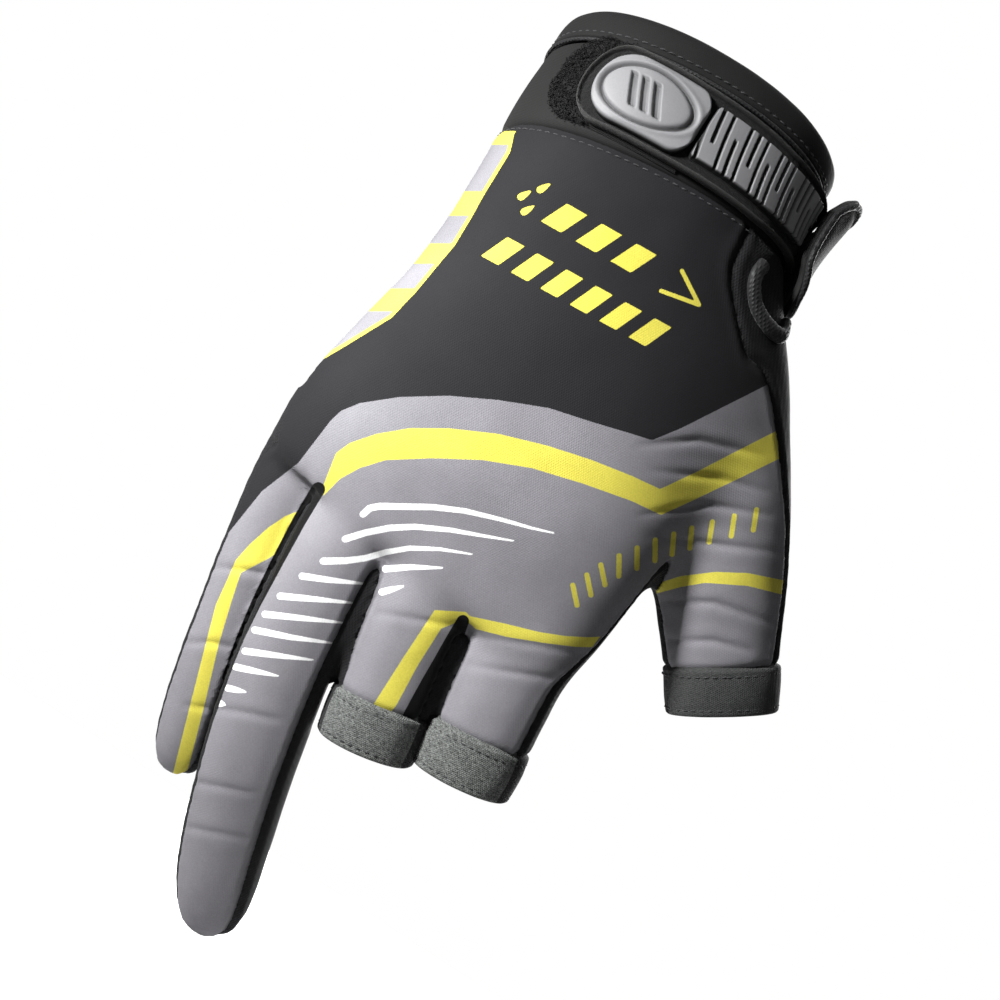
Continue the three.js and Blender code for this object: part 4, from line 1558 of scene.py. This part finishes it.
@dataclass
class Strap:
    """The wrist strap with its loop patch and moulded plate, laid round the cuff along one line."""

    hand: Rings
    start: float = -38.5
    end: float = 90.0
    width: float = 16.4
    raised: float = 1.7
    low: float = 1.5
    thick: float = 1.6
    plate_start: float = -32.5
    oval_end: float = 6.0
    plate_end: float = 69.0
    plate_width: float = 12.6
    plate_thick: float = 1.3
    patch_start: float = -54.0
    patch_end: float = 6.0
    patch_width: float = 17.5
    loops: int = 1300
    loop_radius: float = 0.075
    block_pitch: float = 4.4
    slot_shifts: tuple = (-2.6, 0.0, 2.6)

    def point(self, turn: Array, aside: Array, off: Array) -> Array:
        """A place by the turn round the wrist, the distance below the strap's line and the height off the cuff."""
        down = np.interp(turn, STRAP_TURNS, STRAP_DOWNS) + (aside - self.raised) / HAND_LENGTH
        return self.hand.surface(down, turn, off)

    def per_degree(self) -> float:
        """Millimetres along the strap for one degree of turn, near its start."""
        path = self.point(np.array([-20.0, -10.0]), np.zeros(2), np.full(2, 2.0))
        return float(np.linalg.norm(path[1] - path[0]) / 10)

    def plank(
        self, from_: float, to: float, half: Callable, top: Callable, low: float, rows: int, columns: int
    ) -> Mesh:
        """A closed slab along the strap: its half width and top height are functions of the place along it.

        Args:
            from_, to: The turns between which it lies.
            half: Half width for millimetres from the start.
            top: Height for millimetres from the start and aside.
            low: The height of its underside.
            rows, columns: The grid along and across.
        Returns:
            The slab, with the value `height`.
        """
        scale = self.per_degree()
        spread = 0.5 - 0.5 * np.cos(np.linspace(0, np.pi, rows))
        turn = (from_ + (to - from_) * spread)[:, None]
        run = (turn - from_) * scale
        side = np.sin(np.linspace(-1, 1, columns) * np.pi / 2)[None, :]
        aside = half(run) * side
        height = top(run, aside)
        turns = np.broadcast_to(turn, aside.shape)
        upper = self.point(turns, aside, height)
        under = self.point(turns, aside, np.full_like(aside, low))
        mesh = skin(np.concatenate([upper, under[:, ::-1]], 1), capped=True)
        value = np.concatenate([height, np.full_like(height, low)], 1).ravel()
        mesh.values["height"] = np.append(value, (low, low))
        return mesh

    @staticmethod
    def round_end(run: Array, half: float, length: float) -> Array:
        """A half width that grows from nothing along an ellipse's quarter of that length."""
        t = np.clip(1 - run / length, 0, 1)
        return half * np.sqrt(np.clip(1 - t**2, 0.0004, 1))

    @staticmethod
    def past_tip(run: Array, aside: Array, half: float, length: float) -> Array:
        """How far along the strap a place lies past its free end, which is an ellipse's half."""
        return run - length + length * np.sqrt(np.clip(1 - (aside / half) ** 2, 0, 1))

    def build_patch(self) -> None:
        """The fuzzy loop patch: a thin pad under a mat of small standing loops."""
        half = self.patch_width / 2

        def outline(run: Array) -> Array:
            """Half width, rounded at the free end."""
            return self.round_end(run, half, 9.0)

        def top(run: Array, aside: Array) -> Array:
            """A thin pad that rises from its edge."""
            edge = outline(run) - np.abs(aside)
            return 0.25 + 0.8 * ease(0.0, 0.8, edge)

        pad = self.plank(self.patch_start, self.patch_end, outline, top, -0.1, 90, 30)
        dressed(pad, "loop_pad", LOOPS, "loop_patch", "loop_patch")
        rng = np.random.default_rng(7)
        n = self.loops
        scale = self.per_degree()
        run = rng.uniform(0.3, 16, n)
        aside = rng.uniform(-1, 1, n) * outline(run) * 0.98
        turn = self.patch_start + run / scale
        foot = self.point(turn, aside, np.full(n, 0.85))
        up = unit(self.point(turn, aside, np.full(n, 2.0)) - foot)
        flat = unit(np.cross(up, rng.normal(size=(n, 3))))
        lean = unit(up + 0.5 * rng.normal(size=(n, 3)))
        size = rng.uniform(0.4, 0.75, n)[:, None, None]
        arc = np.radians(np.linspace(-25, 205, 7))
        bend = foot[:, None] + size * (
            flat[:, None] * np.cos(arc)[None, :, None] + lean[:, None] * (np.sin(arc) + 0.35)[None, :, None]
        )
        across = unit(np.cross(flat, lean))[:, None]
        spoke = unit(bend - foot[:, None])
        corners = ((1, 0), (-0.5, 0.87), (-0.5, -0.87))
        ring = np.stack([bend + self.loop_radius * (across * c + spoke * s) for c, s in corners], 2)
        rows = np.arange(6)[:, None]
        cols = np.arange(3)[None, :]
        a, b = rows * 3 + cols, (rows + 1) * 3 + cols
        c, d = (rows + 1) * 3 + (cols + 1) % 3, rows * 3 + (cols + 1) % 3
        faces = np.concatenate([np.stack([a, c, b], -1).reshape(-1, 3), np.stack([a, d, c], -1).reshape(-1, 3)])
        faces = (faces[None] + (np.arange(n) * 21)[:, None, None]).reshape(-1, 3)
        dressed(Mesh(ring.reshape(-1, 3), faces), "loop_fuzz", LOOPS, "loop_patch")

    def build_band(self) -> None:
        """The felt strap: a soft slab with a raised edge and a groove inside it, where the plate is bonded."""
        half, tip = self.width / 2, 8.5

        def outline(run: Array) -> Array:
            """Half width, rounded at the free end."""
            return self.round_end(run, half, tip)

        def top(run: Array, aside: Array) -> Array:
            """A raised edge with a groove inside it, and the felt's own unevenness.

            Args:
                run, aside: Millimetres along and across.
            Returns:
                The height.
            """
            end = self.past_tip(run, aside, half, tip)
            edge = np.minimum(outline(run) - np.abs(aside), np.maximum(end, 0))
            crown = self.thick * quarter(edge / 0.5)
            groove = 1.1 * ease(0.65, 0.95, edge)
            spots = np.stack([run + 0 * aside, aside + 0 * run, 0 * aside + 0 * run], -1)
            return self.low + crown - groove + 0.07 * ripple(spots, 0.6, 3) + 0.05 * ripple(spots, 0.25, 9)

        band = self.plank(self.start, self.end, outline, top, self.low - 0.4, 240, 64)
        band.values["height"] = (band.values["height"] - self.low) / self.thick
        dressed(band, "felt_strap", FELT, "wrist_strap", "wrist_strap")

    def build_plate(self) -> None:
        """The moulded plate: a rounded head with an oval boss, and a narrower tail of blocks, each with a slot."""
        half, tip = self.plate_width / 2 + 0.55, 8.0
        long = (self.oval_end - self.plate_start) * self.per_degree()
        base = self.low + self.thick - 0.75
        full = base + self.plate_thick + 0.45

        def head_outline(run: Array) -> Array:
            """Half width, rounded at the free end and drawn in before the tail."""
            drawn = np.clip((run - (long - 4.2)) / 4.2, 0, 1)
            return self.round_end(run, half, tip) * np.sqrt(np.clip(1 - 0.9 * drawn**2.6, 0.01, 1))

        def head_top(run: Array, aside: Array) -> Array:
            """A rounded block with a rim and a domed oval, cut by three slanted slots.

            Args:
                run, aside: Millimetres along and across.
            Returns:
                The height.
            """
            left = self.past_tip(run, aside, half, tip)
            edge = np.minimum(np.minimum(head_outline(run) - np.abs(aside), np.maximum(left, 0)), long - run)
            crown = quarter(edge / 0.9)
            r = np.hypot((run - long * 0.5) / (long * 0.41), aside / (half * 0.74))
            away = (r - 1) * half * 0.74
            rim = -0.8 * np.exp(-((away / 0.32) ** 2)) + 0.22 * np.exp(-(((away - 0.7) / 0.4) ** 2))
            dome = 0.55 * np.sqrt(np.clip(1 - r**2, 0, 1))
            slash = np.zeros_like(r)
            for shift in self.slot_shifts:
                line = np.abs((run - long * 0.5 - shift) - aside * 0.55) * 0.88
                slash = np.maximum(slash, ease(0.85, 0.45, line) * ease(3.1, 2.6, np.abs(aside)))
            return base + (full - base) * crown + (rim + dome - 1.0 * slash * (r < 1)) * ease(0.3, 1.2, edge)

        def tail_outline(run: Array) -> Array:
            """Half width, a little less than the head's."""
            start = 1 - np.clip((run + 0.6) / 1.2, 0, 1)
            return half * 0.83 * np.sqrt(np.clip(1 - start**2, 0.3, 1))

        def tail_top(run: Array, aside: Array) -> Array:
            """Blocks with a gap between them, each with a slot from one side, left and right in turn.

            Args:
                run, aside: Millimetres along and across.
            Returns:
                The height.
            """
            edge = np.minimum(tail_outline(run) - np.abs(aside), run + 0.2)
            crown = ease(0.0, 0.5, edge)
            phase = (run - aside * 0.18) / self.block_pitch
            cell = phase - np.floor(phase)
            side = np.where(np.floor(phase) % 2 > 0, 1.0, -1.0)
            mark = ease(0.12, 0.06, np.abs(cell - 0.5)) * ease(-1.6, -1.1, aside * side)
            rib = ease(0.04, 0.12, cell) * ease(0.97, 0.89, cell) * (1 - mark)
            return base + (full - base - 0.35) * crown * (0.55 + 0.45 * rib) + 0.3 * rib * crown

        head = self.plank(self.plate_start, self.oval_end, head_outline, head_top, base - 0.4, 150, 90)
        tail = self.plank(self.oval_end + 0.9, self.plate_end, tail_outline, tail_top, base - 0.4, 300, 60)
        both = Mesh.merged([head, tail])
        both.values["height"] = (both.values["height"] - base) / (full - base)
        dressed(both, "moulded_plate", RUBBER, "strap_plate", "strap_plate")

    def build(self) -> None:
        """Makes patch, strap and plate."""
        self.build_patch()
        self.build_band()
        self.build_plate()


@dataclass
class WristSide:
    """The thumb side of the cuff: the flap over the strap's end and the bound vent under it."""

    hand: Rings
    flap_thick: float = 2.2
    flap_long: float = 46.0
    flap_tall: float = 22.0
    # turn, high, low, top, foot
    flap_rows: tuple = (
        (68, 5.2, 5.2, 0.105, 0.2),
        (74, 6.0, 5.0, 0.05, 0.245),
        (82, 6.6, 3.4, 0.025, 0.275),
        (91, 6.4, 2.8, 0.03, 0.285),
        (101, 4.9, 2.4, 0.05, 0.275),
        (112, 2.6, 2.0, 0.075, 0.24),
        (122, 0.5, 0.5, 0.09, 0.22),
    )
    # turn, down, off
    vent_rows: tuple = (
        (54, 0.257, 0.3),
        (51, 0.278, 0.4),
        (51, 0.3, 0.6),
        (55, 0.324, 1.0),
        (63, 0.338, 2.4),
        (72, 0.334, 3.6),
        (80, 0.306, 3.2),
    )

    def flap_point(self, u: Array, v: Array, off: Array) -> Array:
        """A place on the flap, by a cubic curve through its rows.

        Args:
            u: From 0 to 1 round the wrist.
            v: From 0 at its top edge to 1 at its foot.
            off: The height off its underside.
        Returns:
            One place for each.
        """
        last = len(self.flap_rows) - 1
        made = through(np.arange(last + 1), self.flap_rows, u * last)
        turn, high, low, top, foot = np.moveaxis(made, -1, 0)
        return self.hand.surface(top + (foot - top) * v, turn, high + (low - high) * v**2 + off)

    def build(self) -> None:
        """Makes the flap as a thick sheet with a bound edge, then the vent's binding and its stitches."""
        u, v = np.meshgrid(np.linspace(0, 1, 60), np.linspace(0, 1, 44), indexing="ij")
        edge = np.minimum(np.minimum(u * self.flap_long, v * self.flap_tall), (1 - v) * self.flap_tall)
        round_off = quarter(edge / 1.2)
        groove = -0.4 * np.exp(-(((edge - 2.6) / 0.5) ** 2))
        spots = np.stack([u * 50, v * self.flap_tall, 0 * u], -1)
        puff = 0.18 * ripple(spots, 5, 2)
        middle = self.flap_thick / 2
        upper = self.flap_point(u, v, middle + (middle * round_off + (groove + puff) * round_off))
        under = self.flap_point(u, v, middle - middle * round_off)
        flap = skin(np.concatenate([upper, under[:, ::-1]], 1), capped=True)
        dressed(flap, "wrist_flap", CUFF_CLOTH, "side_flap", "side_flap")
        t = np.linspace(0, 1, 60)
        lead = np.concatenate(
            [
                np.stack([0.78 - 0.74 * t[:36] / t[35], np.full(36, 0.06)], -1),
                np.stack([np.full(28, 0.035), 0.1 + 0.8 * t[:28] / t[27]], -1),
                np.stack([0.05 + 0.7 * t[:36] / t[35], np.full(36, 0.955)], -1),
            ]
        )
        path = self.flap_point(lead[:, 0], lead[:, 1], np.full(len(lead), self.flap_thick - 0.2))
        above = self.flap_point(lead[:, 0], lead[:, 1], np.full(len(lead), self.flap_thick + 0.8))
        dressed(piping(path, unit(above - path), 0.85, 0.75), "flap_binding", BINDING, "side_flap")
        last = len(self.vent_rows) - 1
        turn, down, off = through(np.arange(last + 1), self.vent_rows, np.linspace(0, last, 90)).T
        path = self.hand.surface(down, turn, off + 1.2)
        above = self.hand.surface(down, turn, off + 2.2)
        normal = unit(above - path)
        tube = piping(path, normal, 1.75, 1.3, sides=20)
        dressed(tube, "vent_piping", BINDING, "vent_binding", "vent_binding")
        side = unit(np.cross(normal, unit(np.gradient(path, axis=0))))
        row = stitches(path + side * 1.0 + normal * 0.95, unit(normal + side * 0.5), 2.0, 1.5, 0.16, 0.12)
        dressed(row, "vent_thread", THREAD, "vent_binding")


# ---------------------------------------------------------------- studio


@dataclass
class Studio:
    """Floor, soft lights and the camera at the photograph's angle."""

    floor_height: float = -209.5
    floor_half: float = 180.0
    floor_glow: float = 0.93
    around: float = 0.1
    middle: tuple = (10, -10, -90)
    lens: float = 115.9
    tilt: float = 33.0

    def light(
        self, name: str, at: Sequence[float], to: Sequence[float], size: float, power: float, spread: float = 180.0
    ) -> None:
        """A square soft light, turned to a point.

        Args:
            name: Its name.
            at, to: Where it stands and what it faces, in millimetres.
            size: Its side in millimetres.
            power: Watts.
            spread: The angle that its light is held to, in degrees.
        """
        data = bpy.data.lights.new(name, "AREA")
        data.size, data.energy, data.spread = size * MM, power, np.radians(spread)
        lamp = bpy.data.objects.new(name, data)
        lamp.location = Vector(at) * MM
        lamp.rotation_euler = (Vector(to) - Vector(at)).to_track_quat("-Z", "Y").to_euler()
        bpy.context.scene.collection.objects.link(lamp)

    def build(self) -> None:
        """Makes the floor, the lights, the pale surroundings and the camera."""
        corners = self.floor_half * np.array([(-1, -1), (1, -1), (1, 1), (-1, 1)])
        points = np.column_stack([corners + (20, 0), np.full(4, self.floor_height)])
        pale = bpy.data.materials.new("pale_floor")
        pale.use_nodes = True
        shader = pale.node_tree.nodes["Principled BSDF"]
        shader.inputs["Base Color"].default_value = (0.9, 0.9, 0.9, 1)
        shader.inputs["Roughness"].default_value = 0.9
        shader.inputs["Emission Color"].default_value = (1, 1, 1, 1)
        nodes = Nodes(pale.node_tree, clear=False)
        seen = nodes.add("ShaderNodeLightPath").outputs["Is Camera Ray"]
        nodes.feed(nodes.ramp(seen, 0.0, 1.0, (0.0, self.floor_glow)), shader, "Emission Strength")
        floor = Mesh(points, np.array([(0, 1, 2), (0, 2, 3)])).to_object("floor", [pale])
        world = bpy.data.worlds.new("studio")
        world.use_nodes = True
        nodes = Nodes(world.node_tree)
        seen = nodes.add("ShaderNodeLightPath").outputs["Is Camera Ray"]
        strength = nodes.ramp(seen, 0.0, 1.0, (self.around, 1.0))
        back = nodes.add("ShaderNodeBackground", (0, (1, 1, 1, 1)), (1, strength))
        nodes.add("ShaderNodeOutputWorld", (0, back.outputs[0]))
        scene = bpy.context.scene
        scene.world = world
        scene.view_settings.view_transform = "Standard"
        self.light("key", (-400, -335, 70), (-48, -10, -76), 90, 0.47, 34)
        self.light("rim", (260, 260, 320), self.middle, 300, 0.3)
        self.light("back", (230, 640, 80), self.middle, 380, 6.0)
        tilt = np.radians(self.tilt)
        right = Vector((np.cos(tilt), 0, np.sin(tilt)))
        up = Vector((-np.sin(tilt), 0, np.cos(tilt)))
        turn = Matrix((right, up, Vector((0, -1, 0)))).transposed()
        data = bpy.data.cameras.new("camera")
        data.sensor_width, data.lens = 36.0, self.lens
        data.clip_start, data.clip_end = 0.01, 20
        camera = bpy.data.objects.new("camera", data)
        camera.matrix_world = Matrix.Translation(Vector(VIEW_FROM) * MM) @ turn.to_4x4()
        scene.collection.objects.link(camera)
        scene.camera = camera


def main() -> None:
    """Builds the glove's pieces in order, then the studio, and keeps both sizes."""
    logging.basicConfig(level=logging.INFO, format="%(message)s")
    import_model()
    hand = hand_rings()
    fingers = {finger.name: finger.rings() for finger in FINGERS}
    GloveBody(hand, fingers, step=0.8).build()
    FingerHems(fingers).build()
    Cuff(hand).build()
    Strap(hand).build()
    WristSide(hand).build()
    Studio().build()


if __name__ == "__main__":
    main()
